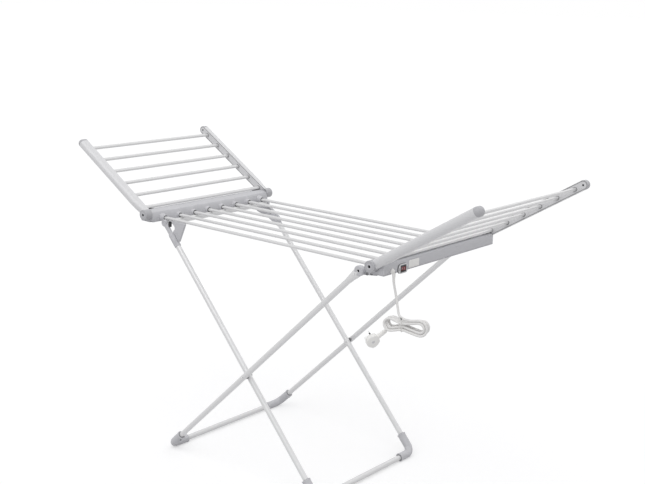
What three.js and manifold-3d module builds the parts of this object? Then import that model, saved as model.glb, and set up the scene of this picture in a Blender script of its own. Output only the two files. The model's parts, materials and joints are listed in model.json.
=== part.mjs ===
// Heated folding clothes airer: a rack of hollow heated bars between two end housings, a wing hinged on
// the ends of each housing, and a scissor of two leg frames. The supply lead hangs from the right housing,
// folded into a tied hank. Millimetres, +Z up, bars along X, origin on the floor under the rack's middle.
import * as THREE from 'three';
import { mergeVertices } from 'three/addons/utils/BufferGeometryUtils.js';
import Module from 'manifold-3d';

const wasm = await Module();
wasm.setup();

// Fits
const fitGap = 0.3;
const cutOverrun = 3;
const mergeTolerance = 1e-4;

// Bars: hollow oval tube, its width in the plane of the rack or wing
const barWidth = 12;
const barThickness = 9;
const barWall = 1.2;
const barSeat = 11;
const barSides = 12;
const barBoreSides = 8;

// Rack
const rackBarCount = 8;
const rackBarPitch = 60;
const rackBarHeight = 714;
const rackHalfSpan = ((rackBarCount - 1) / 2) * rackBarPitch;

// End housings, described at the right end, with heights from the middle of the rack's bars
const housingInner = 403.5;
const collarLength = 3.5;
const collarEnd = housingInner - collarLength;
const collarRadius = 8.5;
const collarRootRadius = 12.5;
const collarStraight = 3;
const housingScallop = 4.5;
const housingValley = housingInner + housingScallop;
const housingEndSetback = 9.5;
const housingSetback = housingInner + housingEndSetback;
const housingWidth = 56.5;
const housingOuter = housingInner + housingWidth;
const housingDrop = 8.8;
const housingBottom = rackBarHeight - housingDrop;
const housingBrowRise = 5;
const housingBrowInset = 8.5;
const housingCrownRise = 12.5;
const housingBrowHeight = rackBarHeight + housingBrowRise;
const housingCrownEdge = housingBrowHeight + housingCrownRise;
const housingShoulderRise = 2.9;
const housingShoulder = housingCrownEdge + housingShoulderRise;
const housingCrownBulge = 5.1;
const housingCrownPull = housingShoulder + housingCrownBulge;
const housingEndMargin = 39.2;
const housingHalfLength = rackHalfSpan + housingEndMargin;
const housingWall = 2.4;
const housingInnerWall = 12.3;
const housingCavityInner = housingInner + housingInnerWall;
const housingEndWall = 6;

// Wing seats beside the housing ends
const seatProjection = 4.3;
const seatHalfLength = housingHalfLength + seatProjection;
const seatSetback = 17.5;
const seatInner = housingInner + seatSetback;

// Housing base covers
const baseThickness = 1.9;
const baseRimHeight = 5;
const baseRimThickness = 2;

// Wings
const hingeSetback = 25.5;
const hingeHalfSpan = housingInner + hingeSetback;
const hingeRise = 12.5;
const hingeHeight = rackBarHeight + hingeRise;
const wingTilt = 31.5;
const wingBarCount = 6;
const firstWingBar = 30.4;
const lastWingBarMargin = 27.6;
const wingBarSeat = 7;
const railLength = 348;
const wingBarPitch = (railLength - firstWingBar - lastWingBarMargin) / (wingBarCount - 1);
const railHalfWidth = 13;
const railDepth = 25;
const railTipSides = 12;
const railArcSteps = 10;
const railInnerFace = housingHalfLength + fitGap;
const railFootRadius = 15.5;
const railFootRound = 4;
const railFootClearance = 0.5;

// Screws
const screwRadius = 2.2;
const screwHeadRadius = 3.2;
const screwHeadHeight = 3.4;
const screwHeadTopShare = 0.8;
const screwSlotShare = 0.3;
const screwRecess = 4;

// Legs
const legRadius = 8;
const legBoreRadius = 6.8;
const legSides = 16;
const legBoreSides = 12;
const footHeight = 11.5;
const outerLegInset = 4.7;
const outerLegPlane = housingHalfLength - outerLegInset;
const outerFootX = -342.7;
const outerPivotInset = 28.5;
const outerPivotX = housingInner - outerPivotInset;
const outerPivotDrop = 13;
const outerPivotHeight = rackBarHeight - outerPivotDrop;
const legPlaneStep = 22;
const innerLegPlane = outerLegPlane - legPlaneStep;
const innerFootX = 232.8;
const innerSocketInset = 69.5;
const innerSocketX = innerSocketInset - housingInner;
const innerSocketDrop = 72;
const innerSocketHeight = rackBarHeight - innerSocketDrop;

// Elbow feet: two straight arms with a tight bend between them
const elbowRadius = 12.2;
const elbowBend = 24;
const elbowBendSteps = 6;
const elbowReach = 62;
const elbowStop = 2;
const elbowRingRadius = 13.2;
const elbowRingLength = 5;

// Top knuckles of the outer legs
const knuckleRadius = 14;
const knuckleThickness = 12.5;
const knuckleInner = outerLegPlane - legRadius;
const knuckleOuter = knuckleInner + knuckleThickness;
const knuckleSleeveLength = 46;
const knuckleSleeveRadius = 9.4;
const knuckleSleeveRootRadius = 11.5;

// Pivot lugs on the right base
const lugThickness = 4.5;
const lugInner = knuckleInner - lugThickness;
const lugRadius = 12;
const lugScrewRadius = 4;
const lugScrewHeight = 3;
const lugScrews = [[19.8, -6], [34, -3]];

// Top brackets of the inner legs, whose webs lie on opposite sides of the leg at the two ends
const bracketInset = 5.5;
const bracketInner = innerLegPlane - bracketInset;
const bracketThickness = 7;
const bracketTopDrop = 2;
const bracketTop = rackBarHeight - bracketTopDrop;
const bracketLobeRadius = 9.8;
const liftRodInset = 12.5;
const liftRodX = liftRodInset - housingInner;
const bracketLength = 91.5;
const bracketCornerX = liftRodX + bracketLength;
const bracketCornerRound = 6;
const farWebShoulder = [[10, 12], [-2, 28], [-31, 46]];
const farWebHeel = [[-46, 14], [-98, 29], [-104, 36]];
const bracketSocketRadius = 9.8;
const bracketSocketLength = 44;
const bracketSlotEnds = [[27, 11], [38, 22]];
const bracketSlotRadius = 8.5;
const liftRodRadius = 8;
const liftRodBoreRadius = 6.8;
const openPivotGap = 0.6;

// Pivots where the legs cross
const crossingHeadRadius = 5.5;
const crossingHeadHeight = 2.6;
const crossingHeadTopShare = 0.7;
const crossingSpacerRadius = 7;

// Supply side of the right housing
const glandEndInset = 29.2;
const glandY = glandEndInset - housingHalfLength;
const glandDrop = 3;
const glandHeight = rackBarHeight - glandDrop;
const glandRadius = 7;
const glandProjection = 7;
const glandDomeShares = [[1, 0.5], [0.85, 0.8], [0.5, 1]];
const glandRootShare = 0.8;
const glandShankRadius = 4.6;
const glandOutletRadius = 4.6;
const glandOutletLength = 15;
const switchSpacing = 44.6;
const switchY = glandY + switchSpacing;
const switchDrop = 3.4;
const switchHeight = rackBarHeight - switchDrop;
const bezelHalfLength = 19.2;
const bezelHalfHeight = 12.4;
const bezelRound = 9;
const bezelThickness = 3;
const switchBodyHalfLength = 14;
const switchBodyHalfHeight = 7.3;
const switchBodyDepth = 15;
const rockerHalfLength = 9;
const rockerHalfHeight = 6;
const rockerWellClearance = 1.2;
const rockerWellDepth = 9;
const rockerPivotInset = 1.5;
const rockerFace = 5;
const rockerDishShare = 0.6;
const rockerTilt = 8;
const rockerTrunnionRadius = 1.2;
const rockerTrunnionLength = 1.4;

// Terminal block in the right housing
const terminalY = -110;
const terminalLength = 34;
const terminalWidth = 16;
const terminalHeight = 13;

// Heating cable in the rack
const heatingCableRadius = 1.6;
const heatingTurnRadius = 8;

// Supply lead, its route and the hank's middle placed from the gland on the housing's outer face
const leadRadius = 3.25;
const leadSides = 10;
const leadSteps = 12;
const glandPlace = new THREE.Vector3(housingOuter, glandY, glandHeight);
const leadRoute = [
  [6.6, 0, -15],
  [6.8, 0, -22],
  [10.5, -0.5, -39],
  [17.8, -2, -62],
  [24.8, -5, -82],
  [29.4, -7.4, -94],
].map((offset) => new THREE.Vector3(...offset).add(glandPlace));

// Hank
const hankOffset = new THREE.Vector3(42, 0, -131);
const hankCentre = hankOffset.clone().add(glandPlace);
const hankTurn = 13;
const hankLeftFold = -32.25;
const hankRightFold = 48.25;
const hankFoldRadius = 21.5;
const hankPitch = 7.6;
const hankLayerStep = 7.6;
const hankWaistPull = 7.5;
const hankReversals = [1.5, 2.5, 3.5];
const hankLayerClimb = 0.25;
const hankLoops = 4.5;
const entryDropShare = 0.7;
const entryRunShare = 0.6;
const tailCornerShare = 1.3;
const tailRunShare = 0.7;
const tailDropShare = 0.8;
const tailEaseShares = [0.4, 0.45];
const hankSides = 6;

// Hank tie
const tieWidth = 4;
const tieThickness = 1.2;
const tieTop = 24.6;
const tieBottom = -15.2;
const tieHalfDepth = 15.6;

// Mains plug
const plugDistance = 57;
const plugLength = 38;
const plugWidth = 42;
const plugThickness = 16;
const plugRound = 12;
const plugEdge = 2.5;
const reliefStart = 12;
const reliefTipRadius = 4.4;
const reliefRootRadius = 7;
const reliefRibs = 4;
const reliefGrooveShare = 0.88;
const pinLength = 18;
const earthPinLength = 22;
const pinWidth = 6.3;
const pinThickness = 4;
const pinOffset = 11;

const wingAngle = THREE.MathUtils.degToRad(wingTilt);
const lugOuter = knuckleInner - fitGap;
const liftRodHeight = rackBarHeight - barThickness / 2 - openPivotGap - liftRodRadius;
const axisX = new THREE.Vector3(1, 0, 0);
const axisY = new THREE.Vector3(0, 1, 0);
const axisZ = new THREE.Vector3(0, 0, 1);

// Finishes
const paintedTube = { color: 0xdfe0e2, roughness: 0.38, metalness: 0.3 };
const paintedRail = { color: 0xd6d7da, roughness: 0.42, metalness: 0.25 };
const greyPlastic = { color: 0xb7b8be, roughness: 0.5, metalness: 0 };
const darkScrew = { color: 0x4a4b50, roughness: 0.4, metalness: 0.8 };
const leadPlastic = { color: 0xe6e2dc, roughness: 0.5, metalness: 0 };
const whitePlastic = { color: 0xeceae6, roughness: 0.45, metalness: 0 };
const bezelPlastic = { color: 0xd9d9da, roughness: 0.45, metalness: 0 };
const redPlastic = { color: 0x8c2428, roughness: 0.35, metalness: 0 };
const heatingSilicone = { color: 0x8a8d93, roughness: 0.6, metalness: 0 };

// Solids

function toSolid(geometry) {
  const bare = new THREE.BufferGeometry();
  bare.setAttribute('position', geometry.getAttribute('position'));
  bare.setIndex(geometry.getIndex());
  const merged = mergeVertices(bare, mergeTolerance);
  const corners = merged.getIndex().array;
  const faces = [];
  for (let i = 0; i < corners.length; i += 3) {
    const [a, b, c] = [corners[i], corners[i + 1], corners[i + 2]];
    if (a !== b && b !== c && c !== a) {
      faces.push(a, b, c);
    }
  }
  return new wasm.Manifold(new wasm.Mesh({
    numProp: 3,
    vertProperties: new Float32Array(merged.getAttribute('position').array),
    triVerts: new Uint32Array(faces),
  }));
}

function toGeometry(solid) {
  const mesh = solid.getMesh();
  const geometry = new THREE.BufferGeometry();
  geometry.setAttribute('position', new THREE.BufferAttribute(new Float32Array(mesh.vertProperties), 3));
  geometry.setIndex(new THREE.BufferAttribute(new Uint32Array(mesh.triVerts), 1));
  return geometry;
}

function joined(...geometries) {
  return geometries.map(toSolid).reduce((whole, piece) => whole.add(piece));
}

function cutBy(solid, ...cutters) {
  return cutters.map(toSolid).reduce((rest, cutter) => rest.subtract(cutter), solid);
}

// A box between two corners
function block(low, high) {
  const size = high.map((value, axis) => value - low[axis]);
  const geometry = new THREE.BoxGeometry(...size);
  return geometry.translate(...low.map((value, axis) => value + size[axis] / 2));
}

// A round bar between two points, tapered where a second radius is given
function roundBar(from, to, radius, sides, endRadius = radius) {
  const line = new THREE.Vector3().subVectors(to, from);
  const geometry = new THREE.CylinderGeometry(endRadius, radius, line.length(), sides);
  const turn = new THREE.Quaternion().setFromUnitVectors(axisY, line.clone().normalize());
  return geometry.applyQuaternion(turn).translate(...from.clone().addScaledVector(line, 0.5).toArray());
}

// A shape drawn in XZ, extruded across Y
function acrossY(shape, low, high, curveSegments = 6) {
  const geometry = new THREE.ExtrudeGeometry(shape, { depth: high - low, bevelEnabled: false, curveSegments });
  return geometry.rotateX(Math.PI / 2).translate(0, high, 0);
}

// A shape drawn in XY, extruded up Z
function upZ(shape, low, high, curveSegments = 6) {
  const geometry = new THREE.ExtrudeGeometry(shape, { depth: high - low, bevelEnabled: false, curveSegments });
  return geometry.translate(0, 0, low);
}

// A shape drawn in YZ, extruded along X
function alongX(shape, low, high, curveSegments = 6) {
  const geometry = new THREE.ExtrudeGeometry(shape, { depth: high - low, bevelEnabled: false, curveSegments });
  geometry.applyMatrix4(new THREE.Matrix4().makeBasis(axisY, axisZ, axisX));
  return geometry.translate(low, 0, 0);
}

function oval(halfWidth, halfHeight) {
  return new THREE.Shape().absellipse(0, 0, halfWidth, halfHeight, 0, Math.PI * 2);
}

function roundedBox(halfWidth, halfHeight, round) {
  const shape = new THREE.Shape();
  shape.moveTo(-halfWidth + round, -halfHeight);
  shape.absarc(halfWidth - round, -halfHeight + round, round, -Math.PI / 2, 0);
  shape.absarc(halfWidth - round, halfHeight - round, round, 0, Math.PI / 2);
  shape.absarc(-halfWidth + round, halfHeight - round, round, Math.PI / 2, Math.PI);
  shape.absarc(-halfWidth + round, -halfHeight + round, round, Math.PI, Math.PI * 1.5);
  return shape;
}

// A revolve about Z from a list of radius and height pairs that starts and ends on the axis
function revolve(profile, sides) {
  const geometry = new THREE.LatheGeometry(profile.map(([r, z]) => new THREE.Vector2(r, z)), sides);
  return geometry.rotateX(Math.PI / 2);
}

// A path through stations that need not be evenly spaced
class StationPath extends THREE.Curve {
  constructor(stations) {
    super();
    this.stations = stations;
  }

  getPoint(t) {
    const last = this.stations.length - 1;
    const place = Math.min(Math.max(t, 0), 1) * last;
    const index = Math.min(Math.floor(place), last - 1);
    return this.stations[index].clone().lerp(this.stations[index + 1], place - index);
  }

  getPointAt(u) {
    return this.getPoint(u);
  }

  getTangentAt(u) {
    const step = 1 / (this.stations.length - 1);
    const ahead = this.getPoint(u + step);
    return ahead.sub(this.getPoint(u - step)).normalize();
  }
}

function tubeAlong(stations, radius, sides) {
  const path = new StationPath(stations);
  const section = new THREE.Shape();
  for (let i = 0; i < sides; i += 1) {
    const angle = (2 * Math.PI * i) / sides;
    const corner = [radius * Math.cos(angle), radius * Math.sin(angle)];
    if (i === 0) {
      section.moveTo(...corner);
    } else {
      section.lineTo(...corner);
    }
  }
  section.closePath();
  const options = { steps: stations.length - 1, bevelEnabled: false, extrudePath: path };
  return new THREE.ExtrudeGeometry(section, options);
}

function addPiece(parent, name, shape, finish) {
  const solid = shape.isBufferGeometry ? toSolid(shape) : shape;
  const mesh = new THREE.Mesh(toGeometry(solid), new THREE.MeshStandardMaterial(finish));
  mesh.name = name;
  parent.add(mesh);
  return mesh;
}

const sideNames = new Map([[-1, 'near'], [1, 'far']]);

const airer = new THREE.Group();
const rightEnd = new THREE.Group();
const leftEnd = new THREE.Group();
leftEnd.rotation.z = Math.PI;
airer.add(rightEnd, leftEnd);

// Bars

function hollowBar(halfLength) {
  const section = oval(barWidth / 2, barThickness / 2);
  const bore = oval(barWidth / 2 - barWall, barThickness / 2 - barWall);
  const outside = toSolid(alongX(section, -halfLength, halfLength, barSides / 2));
  const inside = alongX(bore, -halfLength - cutOverrun, halfLength + cutOverrun, barBoreSides / 2);
  return cutBy(outside, inside);
}

function barSocket(low, high) {
  const section = oval(barWidth / 2 + fitGap, barThickness / 2 + fitGap);
  return alongX(section, low, high, barSides / 2);
}

const rackBarPlaces = Array.from({ length: rackBarCount }, (_, i) => (i - (rackBarCount - 1) / 2) * rackBarPitch);

rackBarPlaces.forEach((y, i) => {
  const bar = addPiece(airer, `rack_bar_${i + 1}`, hollowBar(collarEnd + barSeat), paintedTube);
  bar.position.set(0, y, rackBarHeight);
});

// End housings

// The moulded section, seen along the hinge line, drawn in by a wall where it is the inside
function housingSection(inner, inset, bottom) {
  const brow = Math.max(inner, housingInner + housingBrowInset);
  const section = new THREE.Shape();
  section.moveTo(inner, bottom);
  section.lineTo(housingOuter - inset, bottom);
  section.lineTo(housingOuter - inset, housingShoulder - inset);
  section.quadraticCurveTo((housingOuter + housingInner + housingBrowInset) / 2, housingCrownPull - inset,
    brow, housingCrownEdge - inset);
  if (inner < brow) {
    section.quadraticCurveTo(inner, housingCrownEdge - inset, inner, housingBrowHeight);
  }
  return section;
}

// The plan: scallops between the collars, and the set-back ends
function housingPlan() {
  const first = rackBarPlaces[0];
  const last = rackBarPlaces[rackBarCount - 1];
  const edgeAt = (i) => (i === 0 || i === rackBarCount - 1 ? housingSetback : housingInner);
  const plan = new THREE.Shape();
  plan.moveTo(housingSetback, -housingHalfLength);
  plan.lineTo(housingOuter, -housingHalfLength);
  plan.lineTo(housingOuter, housingHalfLength);
  plan.lineTo(housingSetback, housingHalfLength);
  plan.lineTo(housingSetback, last);
  for (let i = rackBarCount - 2; i >= 0; i -= 1) {
    const middle = (rackBarPlaces[i] + rackBarPlaces[i + 1]) / 2;
    plan.quadraticCurveTo(2 * housingValley - (edgeAt(i) + edgeAt(i + 1)) / 2, middle, edgeAt(i), rackBarPlaces[i]);
  }
  plan.lineTo(housingSetback, first);
  return plan;
}

function collar(y) {
  const centre = (x) => new THREE.Vector3(x, y, rackBarHeight);
  const straightEnd = collarEnd + collarStraight;
  const round = roundBar(centre(collarEnd), centre(straightEnd + fitGap), collarRadius, barSides);
  const hump = roundBar(centre(straightEnd), centre(housingCavityInner), collarRadius, barSides, collarRootRadius);
  return joined(round, hump);
}

// What a wing rail sweeps at rest, with its clearance, seen along the hinge line
function railEnvelope(low, high) {
  const slab = new THREE.Shape();
  const half = railHalfWidth + fitGap;
  const corners = [[0, -half], [railLength / 2, -half], [railLength / 2, 3 * half], [0, 3 * half]];
  const placed = corners.map(([along, across]) => new THREE.Vector2(along, across)
    .rotateAround(new THREE.Vector2(), wingAngle)
    .add(new THREE.Vector2(hingeHalfSpan, hingeHeight)));
  slab.setFromPoints(placed);
  const radius = railFootRadius + railFootClearance;
  const disc = new THREE.Shape().absarc(hingeHalfSpan, hingeHeight, radius, 0, Math.PI * 2);
  return [acrossY(slab, low, high), acrossY(disc, low, high, legSides)];
}

function housing() {
  const section = toSolid(acrossY(housingSection(housingInner, 0, housingBottom), -housingHalfLength,
    housingHalfLength, 5));
  const plan = toSolid(upZ(housingPlan(), housingBottom - cutOverrun, housingCrownPull, 5));
  let body = section.intersect(plan);
  rackBarPlaces.forEach((y) => {
    body = body.add(collar(y));
  });
  body = cutBy(body, block([collarEnd - cutOverrun, -housingHalfLength, housingBottom - collarRootRadius],
    [housingOuter, housingHalfLength, housingBottom]));
  for (const side of [-1, 1]) {
    const near = side * (housingHalfLength - fitGap);
    const far = side * seatHalfLength;
    const seat = toSolid(block([seatInner, Math.min(near, far), housingBottom],
      [housingOuter, Math.max(near, far), hingeHeight + railFootRadius]));
    const low = side * (housingHalfLength - 2 * fitGap);
    const reach = side * (seatHalfLength + cutOverrun);
    body = body.add(cutBy(seat, ...railEnvelope(Math.min(low, reach), Math.max(low, reach))));
  }
  const cavityHalf = housingHalfLength - housingEndWall;
  const cavity = housingSection(housingCavityInner, housingWall, housingBottom - cutOverrun);
  const hinge = (y) => new THREE.Vector3(hingeHalfSpan, y, hingeHeight);
  const reach = housingHalfLength + cutOverrun;
  return cutBy(body,
    acrossY(cavity, -cavityHalf, cavityHalf, 4),
    ...rackBarPlaces.map((y) => barSocket(collarEnd - cutOverrun, housingCavityInner + cutOverrun)
      .translate(0, y, rackBarHeight)),
    roundBar(hinge(-reach), hinge(reach), screwRadius + fitGap, 12));
}

// Room for the switch body, open at the bottom edge that the bezel hangs over
function switchNotch() {
  const half = switchBodyHalfLength + fitGap;
  return block([housingOuter - switchBodyDepth - fitGap, switchY - half,
    switchHeight - switchBodyHalfHeight - cutOverrun],
  [housingOuter + cutOverrun, switchY + half, switchHeight + switchBodyHalfHeight + fitGap]);
}

// Room in the base's rim for the shank of the gland
function glandNotch() {
  const half = glandShankRadius + 2 * fitGap;
  return block([housingOuter - 3 * housingWall, glandY - half, glandHeight - half],
    [housingOuter - housingWall, glandY + half, glandHeight + half]);
}

function supplyCuts() {
  const inside = housingOuter - housingWall - cutOverrun;
  const outside = housingOuter + cutOverrun;
  const hole = roundBar(new THREE.Vector3(inside, glandY, glandHeight),
    new THREE.Vector3(outside, glandY, glandHeight), glandShankRadius + fitGap, 14);
  return [switchNotch(), hole];
}

addPiece(leftEnd, 'left_housing', housing(), greyPlastic);
addPiece(rightEnd, 'right_housing', cutBy(housing(), ...supplyCuts()), greyPlastic);

// Base covers

function baseCover() {
  const top = housingBottom - fitGap;
  const bottom = top - baseThickness;
  const plate = joined(
    block([housingSetback, -housingHalfLength, bottom], [housingOuter, housingHalfLength, top]),
    block([seatInner, -seatHalfLength, bottom], [housingOuter, seatHalfLength, top]),
    block([housingValley, rackBarPlaces[1], bottom],
      [housingSetback + fitGap, rackBarPlaces[rackBarCount - 2], top]));
  const rimX = [housingCavityInner + fitGap, housingOuter - housingWall - fitGap];
  const rimY = housingHalfLength - housingEndWall - fitGap;
  const rim = toSolid(block([rimX[0], -rimY, top - fitGap], [rimX[1], rimY, top + baseRimHeight]));
  const well = block([rimX[0] + baseRimThickness, -rimY + baseRimThickness, top],
    [rimX[1] - baseRimThickness, rimY - baseRimThickness, top + baseRimHeight + cutOverrun]);
  return plate.add(cutBy(rim, well));
}

// A plate that carries the top knuckle of an outer leg, with the heads of its own two screws
function pivotLug(side) {
  const top = housingBottom - fitGap;
  const low = Math.min(side * lugInner, side * lugOuter);
  const high = Math.max(side * lugInner, side * lugOuter);
  const disc = new THREE.Shape().absarc(outerPivotX, outerPivotHeight, lugRadius, 0, Math.PI * 2);
  const web = new THREE.Shape();
  web.moveTo(outerPivotX, outerPivotHeight - lugRadius);
  web.lineTo(housingSetback + lugRadius, outerPivotHeight - lugRadius / 2);
  web.lineTo(housingSetback + lugRadius, top);
  web.lineTo(housingSetback - fitGap, top);
  web.lineTo(outerPivotX, outerPivotHeight + lugRadius);
  const headLow = side > 0 ? lugOuter - fitGap : -lugOuter - lugScrewHeight;
  const heads = lugScrews.map(([x, z]) => {
    const head = new THREE.Shape().absarc(outerPivotX + x, outerPivotHeight + z, lugScrewRadius, 0, Math.PI * 2);
    return acrossY(head, headLow, headLow + lugScrewHeight + fitGap, 5);
  });
  const hole = new THREE.Shape().absarc(outerPivotX, outerPivotHeight, screwRadius + fitGap, 0, Math.PI * 2);
  return cutBy(joined(acrossY(disc, low, high, 10), acrossY(web, low, high), ...heads),
    acrossY(hole, low - cutOverrun, high + cutOverrun, 6));
}

addPiece(leftEnd, 'left_base_cover', baseCover(), greyPlastic);
addPiece(rightEnd, 'right_base_cover', cutBy(baseCover().add(pivotLug(-1)).add(pivotLug(1)), switchNotch(),
  glandNotch()), greyPlastic);

// Wings

function wingRail() {
  const flank = railDepth - railHalfWidth;
  const section = new THREE.Shape();
  section.moveTo(0, -railHalfWidth);
  section.absarc(flank, 0, railHalfWidth, -Math.PI / 2, Math.PI / 2);
  section.lineTo(0, railHalfWidth);
  const body = alongX(section, 0, railLength, railArcSteps / 2).translate(0, railInnerFace, 0);
  const tip = new THREE.SphereGeometry(railHalfWidth, railTipSides, railArcSteps);
  tip.translate(railLength, railInnerFace + flank, 0);
  const tipFlank = roundBar(new THREE.Vector3(railLength, railInnerFace, 0),
    new THREE.Vector3(railLength, railInnerFace + flank, 0), railHalfWidth, railTipSides);
  const flat = block([railLength - railDepth, 0, -railDepth], [railLength + railDepth, railInnerFace, railDepth]);
  const roundDepth = railDepth - railFootRound;
  const edge = Array.from({ length: 4 }, (_, i) => {
    const angle = (Math.PI / 2) * (i / 3);
    const inset = railFootRadius - railFootRound;
    return [inset + railFootRound * Math.cos(angle), roundDepth + railFootRound * Math.sin(angle)];
  });
  const foot = revolve([[0, 0], [railFootRadius, 0], ...edge, [0, railDepth]], 22);
  foot.rotateX(-Math.PI / 2).translate(0, railInnerFace, 0);
  const outerFace = railInnerFace + railDepth;
  const hinge = (y) => new THREE.Vector3(0, y, 0);
  const pin = roundBar(hinge(railInnerFace - cutOverrun), hinge(outerFace + cutOverrun), screwRadius + fitGap, 12);
  const recess = roundBar(hinge(outerFace - screwRecess), hinge(outerFace + cutOverrun),
    screwHeadRadius + fitGap, 14);
  const sockets = wingBarPlaces.map((x) => barSocket(railInnerFace - cutOverrun, railInnerFace + wingBarSeat + fitGap)
    .rotateZ(Math.PI / 2).translate(x, 0, 0));
  return cutBy(joined(body, foot, tipFlank).add(cutBy(toSolid(tip), flat)), pin, recess, ...sockets);
}

const wingBarPlaces = Array.from({ length: wingBarCount }, (_, i) => firstWingBar + i * wingBarPitch);

for (const [wingName, end] of [['left', leftEnd], ['right', rightEnd]]) {
  const wing = new THREE.Group();
  wing.position.set(hingeHalfSpan, 0, hingeHeight);
  wing.rotation.y = -wingAngle;
  end.add(wing);
  const nearRail = addPiece(wing, `${wingName}_wing_near_rail`, wingRail(), paintedRail);
  const farRail = addPiece(wing, `${wingName}_wing_far_rail`, wingRail(), paintedRail);
  const turned = wingName === 'right' ? nearRail : farRail;
  turned.rotation.x = Math.PI;
  wingBarPlaces.forEach((x, i) => {
    const bar = addPiece(wing, `${wingName}_wing_bar_${i + 1}`, hollowBar(railInnerFace + wingBarSeat), paintedTube);
    bar.position.x = x;
    bar.rotation.z = Math.PI / 2;
  });
}

// A shouldered screw along Z, its head's outer face at zero and its shank going down
function screw(shankEnd) {
  return revolve([[0, -shankEnd], [screwRadius, -shankEnd], [screwRadius, -screwHeadHeight],
    [screwHeadRadius, -screwHeadHeight], [screwHeadRadius, -screwHeadHeight / 3],
    [screwHeadRadius * screwHeadTopShare, 0], [screwHeadRadius * screwSlotShare, 0],
    [screwHeadRadius * screwSlotShare, -screwHeadHeight / 3],
    [0, -screwHeadHeight / 3]], 12);
}

function placeScrew(parent, name, side, x, headFace, z, shankEnd) {
  const piece = addPiece(parent, name, screw(shankEnd), darkScrew);
  piece.position.set(x, side * headFace, z);
  piece.rotation.x = -side * Math.PI / 2;
}

const hingeHeadFace = railInnerFace + railDepth - screwRecess + fitGap + screwHeadHeight;
const hingeShankEnd = hingeHeadFace - housingHalfLength + housingEndWall;
for (const [wingName, end] of [['left', leftEnd], ['right', rightEnd]]) {
  for (const [side, sideName] of sideNames) {
    const turnedSide = wingName === 'right' ? side : -side;
    placeScrew(end, `${wingName}_${sideName}_hinge_screw`, turnedSide, hingeHalfSpan, hingeHeadFace,
      hingeHeight, hingeShankEnd);
  }
}

// Leg frames, each drawn along its own leg: Z runs up the leg from the foot tube, Y along the foot tube

function legFrame(footX, angle) {
  const frame = new THREE.Group();
  frame.position.set(footX, 0, footHeight);
  frame.rotation.y = angle;
  frame.updateMatrixWorld(true);
  airer.add(frame);
  return frame;
}

const outerRun = new THREE.Vector2(outerPivotX - outerFootX, outerPivotHeight - footHeight);
const innerRun = new THREE.Vector2(innerSocketX - innerFootX, innerSocketHeight - footHeight);
const outerAngle = Math.PI / 2 - outerRun.angle();
const innerAngle = Math.PI / 2 - innerRun.angle();
const outerLegs = legFrame(outerFootX, outerAngle);
const innerLegs = legFrame(innerFootX, innerAngle);

// Where the two legs cross: its distance up each leg
const between = innerFootX - outerFootX;
const outerDirection = outerRun.clone().normalize();
const innerDirection = innerRun.clone().normalize();
const turn = outerDirection.cross(innerDirection);
const outerCrossing = (between * innerDirection.y) / turn;
const innerCrossing = (between * outerDirection.y) / turn;

function elbow(frame, plane, side) {
  const onLeg = (distance) => new THREE.Vector3(0, side * plane, distance);
  const onFoot = (distance) => new THREE.Vector3(0, side * (plane - distance), 0);
  const turned = Array.from({ length: elbowBendSteps + 1 }, (_, i) => {
    const angle = (Math.PI / 2) * (i / elbowBendSteps);
    const inward = elbowBend * (1 - Math.sin(angle));
    return new THREE.Vector3(0, side * (plane - inward), elbowBend * (1 - Math.cos(angle)));
  });
  const bend = tubeAlong([onFoot(elbowReach), ...turned, onLeg(elbowReach)], elbowRadius, legBoreSides);
  const rings = [onLeg, onFoot].map((at) => roundBar(at(elbowReach - elbowRingLength), at(elbowReach),
    elbowRingRadius, legSides));
  const bores = [onLeg, onFoot].map((at) => roundBar(at(elbowBend + elbowStop), at(elbowReach + cutOverrun),
    legRadius + fitGap, legSides));
  const floor = block([-2 * elbowReach, -plane - 2 * elbowReach, -3 * elbowReach],
    [2 * elbowReach, plane + 2 * elbowReach, 0]);
  const toWorld = frame.matrixWorld.clone();
  floor.translate(frame.position.x, 0, 0).applyMatrix4(toWorld.invert());
  return cutBy(joined(bend, ...rings), ...bores, floor);
}

function pipe(from, to, radius, bore) {
  const reach = to.clone().sub(from).normalize().multiplyScalar(cutOverrun);
  return cutBy(toSolid(roundBar(from, to, radius, legSides)),
    roundBar(from.clone().sub(reach), to.clone().add(reach), bore, legBoreSides));
}

function crossingHole(plane, side, distance) {
  return roundBar(new THREE.Vector3(0, side * (plane - 2 * legRadius), distance),
    new THREE.Vector3(0, side * (plane + 2 * legRadius), distance), screwRadius + fitGap, 12);
}

function addLegFrame(frame, name, plane, legEnd, crossing) {
  const tubeStart = elbowBend + elbowStop + fitGap;
  for (const [side, sideName] of sideNames) {
    addPiece(frame, `${name}_${sideName}_elbow_foot`, elbow(frame, plane, side), greyPlastic);
    const at = (distance) => new THREE.Vector3(0, side * plane, distance);
    const tube = pipe(at(tubeStart), at(legEnd), legRadius, legBoreRadius);
    addPiece(frame, `${name}_${sideName}_leg`, cutBy(tube, crossingHole(plane, side, crossing)), paintedTube);
  }
  const halfLength = plane - tubeStart;
  addPiece(frame, `${name}_foot_tube`, pipe(new THREE.Vector3(0, -halfLength, 0), new THREE.Vector3(0, halfLength, 0),
    legRadius, legBoreRadius), paintedTube);
}

const knuckleHeight = outerRun.length();
const knuckleSocketEnd = knuckleHeight - knuckleRadius;
const bracketSocketStart = innerRun.length();
const bracketSocketEnd = bracketSocketStart + bracketSocketLength - cutOverrun;
addLegFrame(outerLegs, 'outer_frame', outerLegPlane, knuckleSocketEnd - fitGap, outerCrossing);
addLegFrame(innerLegs, 'inner_frame', innerLegPlane, bracketSocketEnd - fitGap, innerCrossing);

// Top knuckle: a flattened eye and the sleeve that takes the leg

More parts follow.
